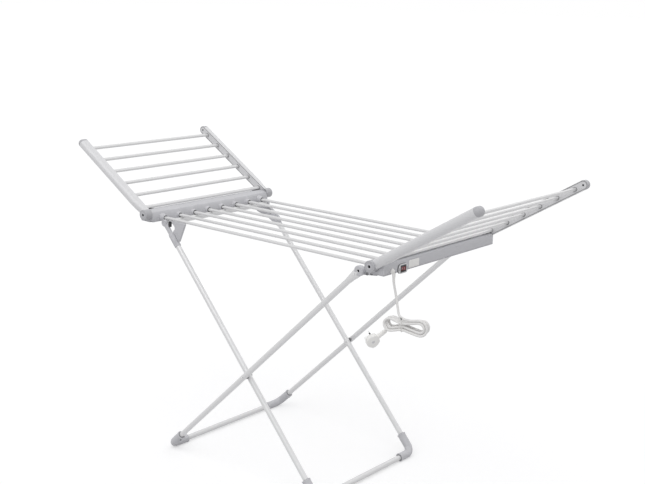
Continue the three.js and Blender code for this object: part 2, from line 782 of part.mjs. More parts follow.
function knuckle(side) {
  const low = Math.min(side * knuckleInner, side * knuckleOuter);
  const high = Math.max(side * knuckleInner, side * knuckleOuter);
  const eye = new THREE.Shape().absarc(0, knuckleHeight, knuckleRadius, 0, Math.PI * 2);
  const at = (distance) => new THREE.Vector3(0, side * outerLegPlane, distance);
  const sleeveEnd = knuckleHeight - knuckleSleeveLength;
  const sleeve = toSolid(roundBar(at(sleeveEnd), at(knuckleHeight - knuckleRadius / 2), knuckleSleeveRadius,
    legSides, knuckleSleeveRootRadius));
  const beyond = side * (outerLegPlane + 2 * legRadius);
  const outward = (face, bottom, top) => toSolid(block([-2 * knuckleRadius, Math.min(side * face, beyond), bottom],
    [2 * knuckleRadius, Math.max(side * face, beyond), top]));
  const flattened = sleeve.intersect(outward(knuckleInner, sleeveEnd - cutOverrun, knuckleSocketEnd + fitGap));
  const outerFlat = outward(knuckleOuter, knuckleSocketEnd, knuckleHeight + knuckleRadius);
  const hinge = (y) => new THREE.Vector3(0, y, knuckleHeight);
  return cutBy(toSolid(acrossY(eye, low, high, 12)).add(flattened).subtract(outerFlat),
    roundBar(at(sleeveEnd - cutOverrun), at(knuckleSocketEnd), legRadius + fitGap, legSides),
    roundBar(hinge(low - cutOverrun), hinge(high + cutOverrun), screwRadius + fitGap, 12),
    roundBar(hinge(side * (knuckleOuter - screwRecess)), hinge(side * (knuckleOuter + cutOverrun)),
      screwHeadRadius + fitGap, 14));
}

const pivotHeadFace = knuckleOuter - screwRecess + fitGap + screwHeadHeight;
for (const [side, sideName] of sideNames) {
  addPiece(outerLegs, `${sideName}_top_knuckle`, knuckle(side), greyPlastic);
  placeScrew(airer, `${sideName}_leg_pivot_screw`, side, outerPivotX, pivotHeadFace, outerPivotHeight,
    pivotHeadFace - lugInner - fitGap);
}

// Crossing pivots: a rivet through both legs with the spacer that keeps them apart

function crossingPivot(side) {
  const outerHead = outerLegPlane + legRadius + fitGap;
  const innerHead = innerLegPlane - legRadius - fitGap;
  const spacerLow = innerLegPlane + legRadius + fitGap;
  const spacerHigh = outerLegPlane - legRadius - fitGap;
  const headTop = crossingHeadRadius * crossingHeadTopShare;
  const pivot = revolve([[0, innerHead - crossingHeadHeight], [headTop, innerHead - crossingHeadHeight],
    [crossingHeadRadius, innerHead - crossingHeadHeight / 2], [crossingHeadRadius, innerHead],
    [screwRadius, innerHead], [screwRadius, spacerLow], [crossingSpacerRadius, spacerLow],
    [crossingSpacerRadius, spacerHigh], [screwRadius, spacerHigh], [screwRadius, outerHead],
    [crossingHeadRadius, outerHead], [crossingHeadRadius, outerHead + crossingHeadHeight / 2],
    [headTop, outerHead + crossingHeadHeight], [0, outerHead + crossingHeadHeight]], 12);
  return pivot.rotateX(-side * Math.PI / 2).translate(0, 0, outerCrossing);
}

for (const [side, sideName] of sideNames) {
  addPiece(outerLegs, `${sideName}_crossing_pivot`, crossingPivot(side), greyPlastic);
}

// Top brackets of the inner legs, drawn in the open position: a lobe for the lift rod, a web and a socket
// that runs down the leg. The near web is above the leg and has a slot, the far one is below it.

function bracketWeb(side) {
  const along = new THREE.Vector2(innerDirection.x, innerDirection.y);
  const across = new THREE.Vector2(-innerDirection.y, innerDirection.x).multiplyScalar(bracketSocketRadius);
  const apex = new THREE.Vector2(innerSocketX, innerSocketHeight);
  const lobe = new THREE.Vector2(liftRodX, liftRodHeight);
  const reach = new THREE.Vector2().subVectors(lobe, apex).normalize();
  const beside = new THREE.Vector2(-reach.y, reach.x).multiplyScalar(bracketLobeRadius);
  const start = apex.clone().add(across).addScaledVector(along, fitGap);
  const end = apex.clone().sub(across);
  const fromApex = ([x, z]) => new THREE.Vector2(x, z).add(apex);
  const lobeTop = new THREE.Vector2(lobe.x, lobe.y + bracketLobeRadius);
  if (side > 0) {
    return new THREE.Shape([start, ...farWebHeel.map(fromApex), lobe.clone().add(beside), lobeTop,
      ...farWebShoulder.map(fromApex).reverse(), end]);
  }
  const web = new THREE.Shape([start, lobe.clone().add(beside), lobeTop]);
  const corner = new THREE.Vector2(bracketCornerX, bracketTop);
  web.lineTo(corner.x - bracketCornerRound, corner.y);
  web.quadraticCurveTo(corner.x, corner.y, corner.x - bracketCornerRound / 3, corner.y - bracketCornerRound);
  web.lineTo(end.x, end.y);
  return web;
}

function bracket(side) {
  const low = Math.min(side * bracketInner, side * (bracketInner + bracketThickness));
  const high = low + bracketThickness;
  const lobe = new THREE.Shape().absarc(liftRodX, liftRodHeight, bracketLobeRadius, 0, Math.PI * 2);
  const onLeg = (distance) => new THREE.Vector3(innerFootX + innerDirection.x * distance,
    side * innerLegPlane, footHeight + innerDirection.y * distance);
  const socket = roundBar(onLeg(bracketSocketStart), onLeg(bracketSocketStart + bracketSocketLength),
    bracketSocketRadius, legSides);
  const bore = roundBar(onLeg(bracketSocketStart - cutOverrun), onLeg(bracketSocketEnd), legRadius + fitGap,
    legSides);
  const rodAt = (y) => new THREE.Vector3(liftRodX, side * y, liftRodHeight);
  const rodSeat = roundBar(rodAt(bracketInner - cutOverrun), rodAt(bracketInner + bracketThickness / 2),
    liftRodRadius + fitGap, legSides);
  const slot = side > 0 ? [] : bracketSlotEnds.map(([beside, drop]) => roundBar(
    new THREE.Vector3(liftRodX + beside, low - cutOverrun, rackBarHeight - drop),
    new THREE.Vector3(liftRodX + beside, high + cutOverrun, rackBarHeight - drop), bracketSlotRadius, legSides));
  const whole = joined(acrossY(bracketWeb(side), low, high), acrossY(lobe, low, high, 10), socket);
  return cutBy(whole, bore, rodSeat, ...slot);
}

for (const [side, sideName] of sideNames) {
  addPiece(airer, `${sideName}_top_bracket`, bracket(side), greyPlastic);
}
const rodHalf = bracketInner + bracketThickness / 2 - fitGap;
addPiece(airer, 'lift_rod', pipe(new THREE.Vector3(liftRodX, -rodHalf, liftRodHeight),
  new THREE.Vector3(liftRodX, rodHalf, liftRodHeight), liftRodRadius, liftRodBoreRadius), paintedTube);

// Rocker switch, described about its centre on the housing's outer face

function bezel() {
  const plate = alongX(roundedBox(bezelHalfLength, bezelHalfHeight, bezelRound), fitGap, bezelThickness, 4);
  const body = block([-switchBodyDepth, -switchBodyHalfLength, -switchBodyHalfHeight],
    [bezelThickness / 2, switchBodyHalfLength, switchBodyHalfHeight]);
  const wellHalf = rockerHalfLength + rockerWellClearance;
  const wellHeight = rockerHalfHeight + fitGap;
  const well = block([-rockerWellDepth, -wellHalf, -wellHeight], [bezelThickness + cutOverrun, wellHalf, wellHeight]);
  const trunnion = rockerHalfHeight + rockerTrunnionLength + fitGap;
  const bearing = roundBar(new THREE.Vector3(-rockerPivotInset, 0, -trunnion),
    new THREE.Vector3(-rockerPivotInset, 0, trunnion), rockerTrunnionRadius + fitGap, 10);
  return cutBy(joined(plate, body), well, bearing);
}

function rocker() {
  const outline = new THREE.Shape();
  outline.moveTo(-rockerFace, -rockerHalfLength / 3);
  outline.lineTo(rockerFace, -rockerHalfLength);
  outline.quadraticCurveTo(rockerFace * rockerDishShare, 0, rockerFace, rockerHalfLength);
  outline.lineTo(-rockerFace, rockerHalfLength / 3);
  const body = upZ(outline, -rockerHalfHeight, rockerHalfHeight, 5);
  const reach = rockerHalfHeight + rockerTrunnionLength;
  const trunnions = roundBar(new THREE.Vector3(0, 0, -reach), new THREE.Vector3(0, 0, reach),
    rockerTrunnionRadius, 10);
  return joined(body, trunnions);
}

const supply = new THREE.Group();
supply.position.set(housingOuter, switchY, switchHeight);
rightEnd.add(supply);
addPiece(supply, 'switch_bezel', bezel(), bezelPlastic);
const rockerPiece = addPiece(supply, 'switch_rocker', rocker(), redPlastic);
rockerPiece.position.x = -rockerPivotInset;
rockerPiece.rotation.z = -THREE.MathUtils.degToRad(rockerTilt);

// Right-angle gland that turns the lead down

function gland() {
  const at = (x) => new THREE.Vector3(x, glandY, glandHeight);
  const profile = glandDomeShares.map(([radius, height]) => [glandRadius * radius, glandProjection * height]);
  const dome = revolve([[0, 0], [glandRadius, 0], ...profile, [0, glandProjection]], 18);
  dome.rotateY(Math.PI / 2).translate(housingOuter + fitGap, glandY, glandHeight);
  const shank = roundBar(at(housingOuter - housingWall * 2), at(housingOuter + 2 * fitGap), glandShankRadius, 14);
  const outlet = roundBar(at(leadRoute[0].x),
    new THREE.Vector3(leadRoute[0].x, glandY, glandHeight - glandOutletLength + fitGap), glandRadius * glandRootShare,
    14, glandOutletRadius);
  return joined(dome, shank, outlet);
}

addPiece(rightEnd, 'cord_gland', gland(), whitePlastic);

// Supply lead from the gland to the hank

const leadCurve = new THREE.CatmullRomCurve3(leadRoute);
addPiece(rightEnd, 'supply_lead', tubeAlong(leadCurve.getPoints(leadSteps), leadRadius, leadSides), leadPlastic);

// Hank: loops round two folds, spiralling in and out in layers and drawn in where the tie holds them

const hankAngle = THREE.MathUtils.degToRad(hankTurn);
const hankAlong = new THREE.Vector3(Math.cos(hankAngle), Math.sin(hankAngle), 0);
const hankToward = new THREE.Vector3(Math.sin(hankAngle), -Math.cos(hankAngle), 0);

function hankPoint(along, up, toward) {
  return hankCentre.clone().addScaledVector(hankAlong, along).addScaledVector(axisZ, up)
    .addScaledVector(hankToward, toward);
}

function hankLayer(t) {
  const climbed = hankReversals.map((reversal) => THREE.MathUtils.smoothstep(t, reversal - hankLayerClimb,
    reversal + hankLayerClimb));
  const layer = climbed.reduce((sum, share) => sum + share, 0);
  return (hankReversals.length / 2 - layer) * hankLayerStep;
}

function hankInset(t) {
  const [first, second, third] = hankReversals;
  const inward = Math.min(t, first) - Math.min(Math.max(t - first, 0), second - first)
    + Math.min(Math.max(t - second, 0), third - second) - Math.max(t - third, 0);
  return inward * hankPitch;
}

// One loop is 24 steps: 2 to the right fold, 8 round it, 4 back, 8 round the left fold and 2 home
const stepsPerLoop = 24;
const foldSteps = 8;
const halfRunSteps = 2;

function hankPlace(t) {
  const step = (t - Math.floor(t)) * stepsPerLoop;
  const radius = hankFoldRadius - hankInset(t);
  const pulled = (share) => radius - (hankWaistPull * (1 + Math.cos(Math.PI * share))) / 2;
  const rightFoldEnd = halfRunSteps + foldSteps;
  const leftFoldStart = rightFoldEnd + 2 * halfRunSteps;
  const leftFoldEnd = leftFoldStart + foldSteps;
  let along;
  let up;
  if (step <= halfRunSteps) {
    along = (hankRightFold * step) / halfRunSteps;
    up = pulled(step / halfRunSteps);
  } else if (step < rightFoldEnd) {
    const angle = Math.PI * ((step - halfRunSteps) / foldSteps);
    along = hankRightFold + radius * Math.sin(angle);
    up = radius * Math.cos(angle);
  } else if (step <= leftFoldStart) {
    const share = (step - rightFoldEnd) / halfRunSteps;
    const fold = share <= 1 ? hankRightFold : hankLeftFold;
    along = fold * Math.abs(1 - share);
    up = -pulled(Math.abs(1 - share));
  } else if (step < leftFoldEnd) {
    const angle = Math.PI * ((step - leftFoldStart) / foldSteps);
    along = hankLeftFold - radius * Math.sin(angle);
    up = -radius * Math.cos(angle);
  } else {
    const share = (stepsPerLoop - step) / halfRunSteps;
    along = hankLeftFold * share;
    up = pulled(share);
  }
  return hankPoint(along, up, hankLayer(t));
}

// The lead arrives from above at the left of the waist and the tail leaves under the left fold
const leadEnd = leadRoute[leadRoute.length - 1];
const leadDirection = leadCurve.getTangent(1);
const plugDirection = new THREE.Vector3(-0.508, -0.616, -0.602).normalize();
const plugWidthway = new THREE.Vector3(-0.8, 0.55, 0.24).cross(plugDirection).normalize();
const plugPinway = new THREE.Vector3().crossVectors(plugDirection, plugWidthway);
const tailCorner = hankPoint(hankLeftFold * tailCornerShare, -hankFoldRadius + hankInset(hankLoops),
  hankLayer(hankLoops));
const tailDrop = hankFoldRadius * tailDropShare;

function hankStations() {
  const entryStart = leadEnd.clone().addScaledVector(leadDirection, fitGap);
  const entryStraight = entryStart.clone().addScaledVector(leadDirection, 2 * leadRadius);
  const entryEnd = hankPlace(1 / stepsPerLoop);
  const entryBend = new THREE.CubicBezierCurve3(entryStraight,
    entryStraight.clone().addScaledVector(leadDirection, hankFoldRadius * entryDropShare),
    entryEnd.clone().addScaledVector(hankAlong, -hankFoldRadius * entryRunShare), entryEnd);
  const loops = [];
  for (let step = 2; step <= hankLoops * stepsPerLoop; step += 1) {
    loops.push(hankPlace(step / stepsPerLoop));
  }
  const tailStart = loops[loops.length - 1];
  const tailEnd = tailCorner.clone().addScaledVector(plugDirection, tailDrop);
  const runBend = tailCorner.clone().addScaledVector(hankAlong, hankFoldRadius * tailRunShare);
  const [runEase, dropEase] = tailEaseShares.map((share) => -hankFoldRadius * share);
  const bend = new THREE.CubicBezierCurve3(runBend, runBend.clone().addScaledVector(hankAlong, runEase),
    tailEnd.clone().addScaledVector(plugDirection, dropEase), tailEnd);
  const tailMiddle = tailStart.clone().lerp(runBend, 0.5);
  tailMiddle.z = (tailStart.z + 2 * runBend.z) / 3;
  const plugFace = tailCorner.clone().addScaledVector(plugDirection, reliefStart + tailDrop);
  return [entryStart, entryStart.clone().lerp(entryStraight, 0.5), ...entryBend.getPoints(6), ...loops, tailMiddle,
    ...bend.getPoints(5), plugFace];
}

const stations = hankStations();

// Least gap of the hank to itself, on points along its line
function leastGap(points) {
  const fine = [];
  for (let i = 0; i < points.length - 1; i += 1) {
    for (let k = 0; k < 4; k += 1) {
      fine.push(points[i].clone().lerp(points[i + 1], k / 4));
    }
  }
  let travelled = 0;
  const along = fine.map((point, i) => {
    travelled += i > 0 ? point.distanceTo(fine[i - 1]) : 0;
    return travelled;
  });
  let least = Infinity;
  for (let i = 0; i < fine.length; i += 1) {
    for (let j = i + 1; j < fine.length; j += 1) {
      if (along[j] - along[i] > 8 * leadRadius) {
        least = Math.min(least, fine[i].distanceTo(fine[j]));
      }
    }
  }
  return { gap: least - 2 * leadRadius, length: travelled };
}

const hankMeasure = leastGap(stations);
console.log(`hank: least gap ${hankMeasure.gap.toFixed(2)} mm, ${hankMeasure.length.toFixed(0)} mm of lead`);
addPiece(rightEnd, 'lead_hank', tubeAlong(stations, leadRadius, hankSides), leadPlastic);

function hankTie() {
  const band = new THREE.Shape();
  const [low, high, deep] = [tieBottom, tieTop, tieHalfDepth];
  const ring = (grow) => [[-deep - grow, low - grow], [deep + grow, low - grow], [deep + grow, high + grow],
    [-deep - grow, high + grow]].map(([a, b]) => new THREE.Vector2(a, b));
  band.setFromPoints(ring(tieThickness));
  band.holes.push(new THREE.Path().setFromPoints(ring(0)));
  const geometry = new THREE.ExtrudeGeometry(band, { depth: tieWidth, bevelEnabled: false });
  geometry.translate(0, 0, -tieWidth / 2);
  const twist = roundBar(new THREE.Vector3(deep, 0, 0), new THREE.Vector3(deep + tieWidth, tieWidth * 2, 0),
    tieThickness, 6);
  const placed = joined(geometry, twist);
  const basis = new THREE.Matrix4().makeBasis(hankToward, axisZ, hankAlong.clone().negate());
  return toGeometry(placed).applyMatrix4(basis).translate(...hankCentre.toArray());
}

addPiece(rightEnd, 'hank_tie', hankTie(), whitePlastic);

// Mains plug: rounded body, ribbed strain relief and three pins

function plug() {
  const front = plugThickness / 2;
  const outline = roundedBox(plugLength / 2, plugWidth / 2, plugRound);
  const body = new THREE.ExtrudeGeometry(outline, {
    depth: plugThickness - 2 * plugEdge, curveSegments: 4, bevelThickness: plugEdge, bevelSize: plugEdge,
    bevelOffset: -plugEdge, bevelSegments: 2,
  });
  body.translate(0, 0, -front + plugEdge);
  const reliefRoot = plugLength / 2 - plugEdge;
  const reliefTip = plugDistance - reliefStart - tailDrop - fitGap;
  const ribPitch = (reliefTip - reliefRoot) / (2 * reliefRibs + 1);
  const radiusAt = (share) => THREE.MathUtils.lerp(reliefRootRadius, reliefTipRadius, share);
  const profile = [[0, 0]];
  for (let i = 0; i <= 2 * reliefRibs + 1; i += 1) {
    const share = i / (2 * reliefRibs + 1);
    profile.push([radiusAt(share) * (i % 2 === 0 ? 1 : reliefGrooveShare), i * ribPitch]);
  }
  profile.push([0, reliefTip - reliefRoot]);
  const relief = revolve(profile, 12).rotateY(-Math.PI / 2).translate(-reliefRoot, 0, 0);
  const pin = (along, across, length, halfAlong, halfAcross) => block([along - halfAlong, across - halfAcross, 0],
    [along + halfAlong, across + halfAcross, front + length]);
  return joined(body, relief,
    pin(pinOffset, 0, earthPinLength, pinWidth / 2, pinThickness / 2),
    pin(-pinOffset / 2, pinOffset, pinLength, pinThickness / 2, pinWidth / 2),
    pin(-pinOffset / 2, -pinOffset, pinLength, pinThickness / 2, pinWidth / 2));
}

const plugPiece = addPiece(rightEnd, 'mains_plug', plug(), leadPlastic);
plugPiece.quaternion.setFromRotationMatrix(new THREE.Matrix4().makeBasis(plugDirection, plugWidthway, plugPinway));
plugPiece.position.copy(tailCorner.clone().addScaledVector(plugDirection, plugDistance));

// Heating cable, to and fro through the rack's bars with its turns inside the housings

function heatingStations() {
  const height = rackBarHeight - barThickness / 2 + barWall + heatingCableRadius + fitGap;
  const turnX = housingOuter - housingWall - heatingTurnRadius - heatingCableRadius - fitGap * 2;
  const places = [];
  rackBarPlaces.forEach((y, i) => {
    const direction = i % 2 === 0 ? -1 : 1;
    const ends = [-turnX, -collarEnd, collarEnd, turnX];
    places.push(...ends.map((x) => new THREE.Vector3(direction * x, y, height)));
    if (i < rackBarCount - 1) {
      const next = rackBarPlaces[i + 1];
      for (const [cornerY, startAngle] of [[y + heatingTurnRadius, 0], [next - heatingTurnRadius, 1]]) {
        for (let k = 1; k <= 3; k += 1) {
          const angle = (Math.PI / 2) * (k / 3 + startAngle);
          places.push(new THREE.Vector3(direction * (turnX + heatingTurnRadius * Math.sin(angle)),
            cornerY - heatingTurnRadius * Math.cos(angle), height));
        }
      }
    }
  });
  return places;
}

addPiece(airer, 'rack_heating_cable', tubeAlong(heatingStations(), heatingCableRadius, 6), heatingSilicone);

// Terminal block on the right base cover

function terminalBlock() {
  const bottom = housingBottom;
  const left = housingCavityInner + baseRimThickness + 2 * fitGap;
  const body = toSolid(block([left, terminalY - terminalLength / 2, bottom],
    [left + terminalWidth, terminalY + terminalLength / 2, bottom + terminalHeight]));
  const wells = [-1, 0, 1].map((i) => roundBar(
    new THREE.Vector3(left + terminalWidth / 2, terminalY + (i * terminalLength) / 3, bottom + terminalHeight / 2),
    new THREE.Vector3(left + terminalWidth / 2, terminalY + (i * terminalLength) / 3,
      bottom + terminalHeight + cutOverrun), terminalWidth / 5, 10));
  return cutBy(body, ...wells);
}

addPiece(rightEnd, 'terminal_block', terminalBlock(), whitePlastic);

export default airer;
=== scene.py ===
import json
import math

import bmesh
import bpy
from bpy.props import FloatProperty, FloatVectorProperty, IntProperty, PointerProperty
from mathutils import Matrix, Vector


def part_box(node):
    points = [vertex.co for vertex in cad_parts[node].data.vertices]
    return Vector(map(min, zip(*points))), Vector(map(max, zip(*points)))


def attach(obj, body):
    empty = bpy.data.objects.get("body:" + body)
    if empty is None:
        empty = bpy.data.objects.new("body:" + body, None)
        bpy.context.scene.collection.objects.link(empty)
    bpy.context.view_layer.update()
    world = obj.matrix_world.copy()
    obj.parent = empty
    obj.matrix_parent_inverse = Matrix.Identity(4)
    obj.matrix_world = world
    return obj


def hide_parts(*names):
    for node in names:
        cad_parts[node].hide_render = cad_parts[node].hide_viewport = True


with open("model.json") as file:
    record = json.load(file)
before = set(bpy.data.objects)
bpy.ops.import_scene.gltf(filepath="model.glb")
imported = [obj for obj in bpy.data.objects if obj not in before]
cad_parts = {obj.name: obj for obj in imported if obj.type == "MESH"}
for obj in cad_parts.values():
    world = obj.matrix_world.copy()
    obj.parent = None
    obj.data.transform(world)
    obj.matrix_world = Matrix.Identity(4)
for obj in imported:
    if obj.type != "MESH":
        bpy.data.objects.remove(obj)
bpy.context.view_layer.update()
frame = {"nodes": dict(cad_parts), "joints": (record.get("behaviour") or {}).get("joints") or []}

# A heated clothes airer: eight warm bars between two end housings, a hinged wing at each end, a scissor of
# two leg frames, and a supply lead tied in a hank. Metres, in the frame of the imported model.

bl_info = {
    "name": "Heated clothes airer",
    "version": (1, 0, 0),
    "blender": (4, 5, 0),
    "location": "View3D > Sidebar > Airer",
    "description": "Builds a heated folding clothes airer around its packed model",
    "category": "Object",
}

MM = 0.001
CLEARANCE = 0.0003
WHITE = (1, 1, 1, 1)
# Right, up and back of the camera
CAMERA_AXES = ((0.75889589, 0.65082006, 0.02258936), (-0.16509387, 0.15872295, 0.97342233),
               (0.62993733, -0.74245557, 0.2279006))
ENDS = {"right": Matrix(), "left": Matrix.Rotation(math.pi, 4, "Z")}
SIDES = {"near": -1, "far": 1}
UPRIGHT = Matrix.Rotation(math.pi / 2, 4, "X")
ALONG_X = Matrix(((0, 0, 1, 0), (1, 0, 0, 0), (0, 1, 0, 0), (0, 0, 0, 1)))
FLIP = Matrix.Rotation(math.pi, 4, "X")

# The lead's free stretches: from the gland down to the hank, and from the hank to the plug
LEAD_DROP = (
    (0.4666, -0.2200, 0.6960), (0.4668, -0.2200, 0.6890), (0.4679, -0.2201, 0.6810), (0.4705, -0.2205, 0.6720),
    (0.4740, -0.2211, 0.6605), (0.4778, -0.2220, 0.6490), (0.4815, -0.2233, 0.6387), (0.4848, -0.2250, 0.6290),
    (0.4874, -0.2263, 0.6223), (0.4895, -0.2275, 0.6167), (0.4906, -0.2281, 0.6137), (0.4918, -0.2286, 0.6108),
    (0.4955, -0.2296, 0.6050), (0.5008, -0.2298, 0.6012), (0.5072, -0.2293, 0.5989), (0.5143, -0.2283, 0.5978),
    (0.5214, -0.2271, 0.5975),
)
LEAD_TAIL = (
    (0.4863, -0.2119, 0.5648), (0.4733, -0.2149, 0.5623), (0.4681, -0.2166, 0.5618), (0.4628, -0.2190, 0.5603),
    (0.4578, -0.2220, 0.5581), (0.4534, -0.2254, 0.5553), (0.4499, -0.2289, 0.5520), (0.4437, -0.2363, 0.5447),
)

# The hank hangs folded at both ends, in layers that spiral in and out, and its tie draws its waist in.
# Its folds are where their middles lie along the runs, its radius is that of the outermost fold, and its
# pitch is the way from turn to turn and from layer to layer. A run has two steps from the waist to a fold.
HANK_MIDDLE = (0.502, -0.22, 0.58)
HANK_TURN = math.radians(13)
HANK_FOLDS = (-0.03225, 0.04825)
HANK_RADIUS = 0.0215
HANK_PITCH = 0.0076
WAIST_PULL = 0.0075
HANK_LOOPS = 4.5
LOOP_STEPS = 24
RUN_STEPS = 2

# Loops after which the spiral turns from in to out or back, and half of each climb to the next layer
HANK_REVERSALS = (1.5, 2.5, 3.5)
HANK_CLIMB = 0.25

# Corners of the tie round the hank's strands: toward the front and up from the hank's middle, in millimetres
TIE_RING = ((15, 16), (13.5, 21), (10.7, 22.2), (7, 21), (-12, 10.5), (-15, 7), (-15.3, 0), (-14.5, -10),
            (-10, -14.6), (10, -14.6), (14.5, -11), (15.3, 0), (15.3, 10))


# Sizes and colours that a user may change

def length(name, description, value):
    return FloatProperty(name=name, description=description, default=value, unit="LENGTH", subtype="DISTANCE",
                         precision=5)


def colour(name, description, value):
    return FloatVectorProperty(name=name, description=description, default=[c / 255 for c in value], size=3,
                               min=0, max=1, subtype="COLOR_GAMMA")


def place(name, description, value):
    return FloatVectorProperty(name=name, description=description, default=value, size=len(value),
                               unit="LENGTH", subtype="XYZ" if len(value) == 3 else "NONE", precision=5)


def direction(name, description, value):
    return FloatVectorProperty(name=name, description=description, default=value, size=3,
                               subtype="DIRECTION", precision=4)


def strength(name, description, value):
    return FloatProperty(name=name, description=description, default=value, min=0)


class BarSizes(bpy.types.PropertyGroup):
    width: length("Width", "Wide way across an oval bar", 0.012)
    thickness: length("Thickness", "Narrow way across an oval bar", 0.009)
    wall: length("Wall", "Thickness of the tube's wall", 0.0012)
    rack_count: IntProperty(name="Rack bars", description="Bars between the housings", default=8, min=2)
    wing_count: IntProperty(name="Wing bars", description="Bars in each wing", default=6, min=2)
    wing_first: length("First wing bar", "Distance of the first wing bar from the hinge", 0.0304)
    wing_pitch: length("Wing pitch", "Distance between two wing bars", 0.058)
    wing_seat: length("Wing seat", "How far a wing bar goes into its rails", 0.007)


class RailSizes(bpy.types.PropertyGroup):
    tilt: FloatProperty(name="Tilt", description="Rise of a wing when it is up", default=math.radians(31.5),
                        unit="ROTATION", subtype="ANGLE")
    length: length("Length", "Hinge to the middle of the domed tip", 0.348)
    half_width: length("Half width", "Half the height of the rail's section", 0.013)
    depth: length("Depth", "Inner face to the outer curve", 0.025)
    inner: length("Inner face", "Distance of the inner face from the middle plane", 0.2495)
    foot_radius: length("Foot radius", "Radius of the hinge disc", 0.0155)
    foot_round: length("Foot round", "Rounding of the hinge disc's rim", 0.0016)
    recess: length("Recess", "Depth of the well that the screw sits in", 0.004)
    seam: length("Seam", "Distance of the tip's seam from the hinge", 0.3466)
    start_share: FloatProperty(name="Start share", description="Part of the depth that the rail starts with",
                               default=0.78, min=0.1, max=1)


class HousingSizes(bpy.types.PropertyGroup):
    inner: length("Inner edge", "Reach of the moulding at a collar", 0.4035)
    valley: length("Valley", "Where the scallop's curve is drawn to", 0.4105)
    setback: length("Set back", "Inner edge beyond the last collars", 0.413)
    outer: length("Outer face", "Flat outer face", 0.46)
    bottom: length("Bottom", "Lower edge of the moulding", 0.7052)
    brow: length("Brow", "Height where the inner face starts to curve", 0.719)
    crown_edge: length("Crown edge", "Height of the top at its inner side", 0.7315)
    crown_pull: length("Crown pull", "Height that the top's curve is drawn to", 0.7395)
    shoulder: length("Shoulder", "Height of the top at the outer face", 0.7344)
    half_length: length("Half length", "Half of the moulding's length", 0.2492)
    seat_end: length("Seat end", "Where the wing seats end", 0.2535)
    seat_inner: length("Seat inner", "Inner edge of the wing seats", 0.421)
    collar_end: length("Collar end", "Mouth of a bar's collar", 0.4)
    collar_radius: length("Collar radius", "Radius at the mouth of a collar", 0.0085)
    collar_root: length("Collar root", "Radius where a collar runs into the moulding", 0.0125)
    collar_depth: length("Collar depth", "Where a collar ends inside the moulding", 0.4158)
    cover: length("Base cover", "Thickness of the base cover", 0.0019)
    gap: length("Gap", "Clearance between two pieces", 0.0003)


class LegSizes(bpy.types.PropertyGroup):
    radius: length("Tube radius", "Outer radius of the leg tubes", 0.008)
    bore: length("Tube bore", "Inner radius of the leg tubes", 0.0068)
    foot_height: length("Foot height", "Height of the foot tubes", 0.0115)
    outer_plane: length("Outer legs", "Distance of the outer legs from the middle plane", 0.2445)
    inner_plane: length("Inner legs", "Distance of the inner legs from the middle plane", 0.2225)
    outer_foot: length("Outer foot", "Foot tube of the outer legs", -0.3427)
    inner_foot: length("Inner foot", "Foot tube of the inner legs", 0.2328)
    outer_pivot: place("Outer pivot", "Hinge of the outer legs, along and up", (0.375, 0.701))
    inner_socket: place("Inner socket", "Start of the inner legs' sockets, along and up", (-0.334, 0.642))
    elbow_radius: length("Elbow radius", "Radius of an elbow foot", 0.0122)
    elbow_bend: length("Elbow bend", "Radius of the bend in an elbow foot", 0.024)
    elbow_reach: length("Elbow reach", "Corner to the mouth of an elbow foot", 0.062)
    ring_radius: length("Ring radius", "Radius of an elbow foot's end ring", 0.0132)
    ring_length: length("Ring length", "Length of an elbow foot's end ring", 0.005)
    knuckle_radius: length("Knuckle radius", "Radius of the eye on the outer legs", 0.014)
    knuckle_inner: length("Knuckle inner", "Inner face of the eye", 0.2365)
    knuckle_outer: length("Knuckle outer", "Outer face of the eye", 0.249)
    bracket_inner: length("Bracket inner", "Inner face of a top bracket", 0.217)
    bracket_thickness: length("Bracket thickness", "Thickness of a top bracket's plate", 0.007)
    bracket_top: length("Bracket top", "Upper edge of a top bracket", 0.712)
    bracket_corner: length("Bracket corner", "Corner of the web under the near bar", -0.2995)
    lobe: length("Lobe radius", "Radius of the boss round the lift rod", 0.0098)
    socket_length: length("Socket length", "Length of a top bracket's socket", 0.044)
    rod: place("Lift rod", "Lift rod, along and up", (-0.391, 0.7009))


class ScrewSizes(bpy.types.PropertyGroup):
    shank: length("Shank radius", "Radius of a screw's shank", 0.0022)
    head: length("Head radius", "Radius of a screw's head", 0.0032)
    head_height: length("Head height", "Height of a screw's head", 0.0034)
    socket: length("Socket", "Half the width of the drive socket", 0.0017)


class SupplySizes(bpy.types.PropertyGroup):
    lead_radius: length("Lead radius", "Radius of the supply lead", 0.00325)
    gland: place("Gland", "Where the lead leaves, across and up", (-0.22, 0.711))
    gland_radius: length("Gland radius", "Radius of the gland's dome", 0.007)
    gland_projection: length("Gland projection", "How far the gland stands out", 0.007)
    switch: place("Switch", "Middle of the rocker switch, across and up", (-0.1754, 0.7106))
    bezel: place("Bezel", "Half length, half height and thickness of the bezel", (0.0192, 0.0124, 0.003))
    rocker: place("Rocker", "Half length and half height of the rocker", (0.0078, 0.0048))
    rocker_tilt: FloatProperty(name="Rocker tilt", description="Turn of the rocker at rest",
                               default=math.radians(8), unit="ROTATION", subtype="ANGLE")
    plate: place("Bare plate", "Across from, across to, up from and up to of the bare plate",
                 (-0.148, -0.104, 0.7062, 0.7262))
    plug: place("Plug", "Length, width and thickness of the plug", (0.0342, 0.0345, 0.0156))
    plug_gap: length("Plug gap", "End of the lead's route to the plug's body", 0.0088)
    plug_way: direction("Plug way", "Way that the plug points", (-0.508, -0.616, -0.602))
    plug_side: direction("Plug side", "Side from which the plug's broad face is turned", (-0.8, 0.55, 0.24))


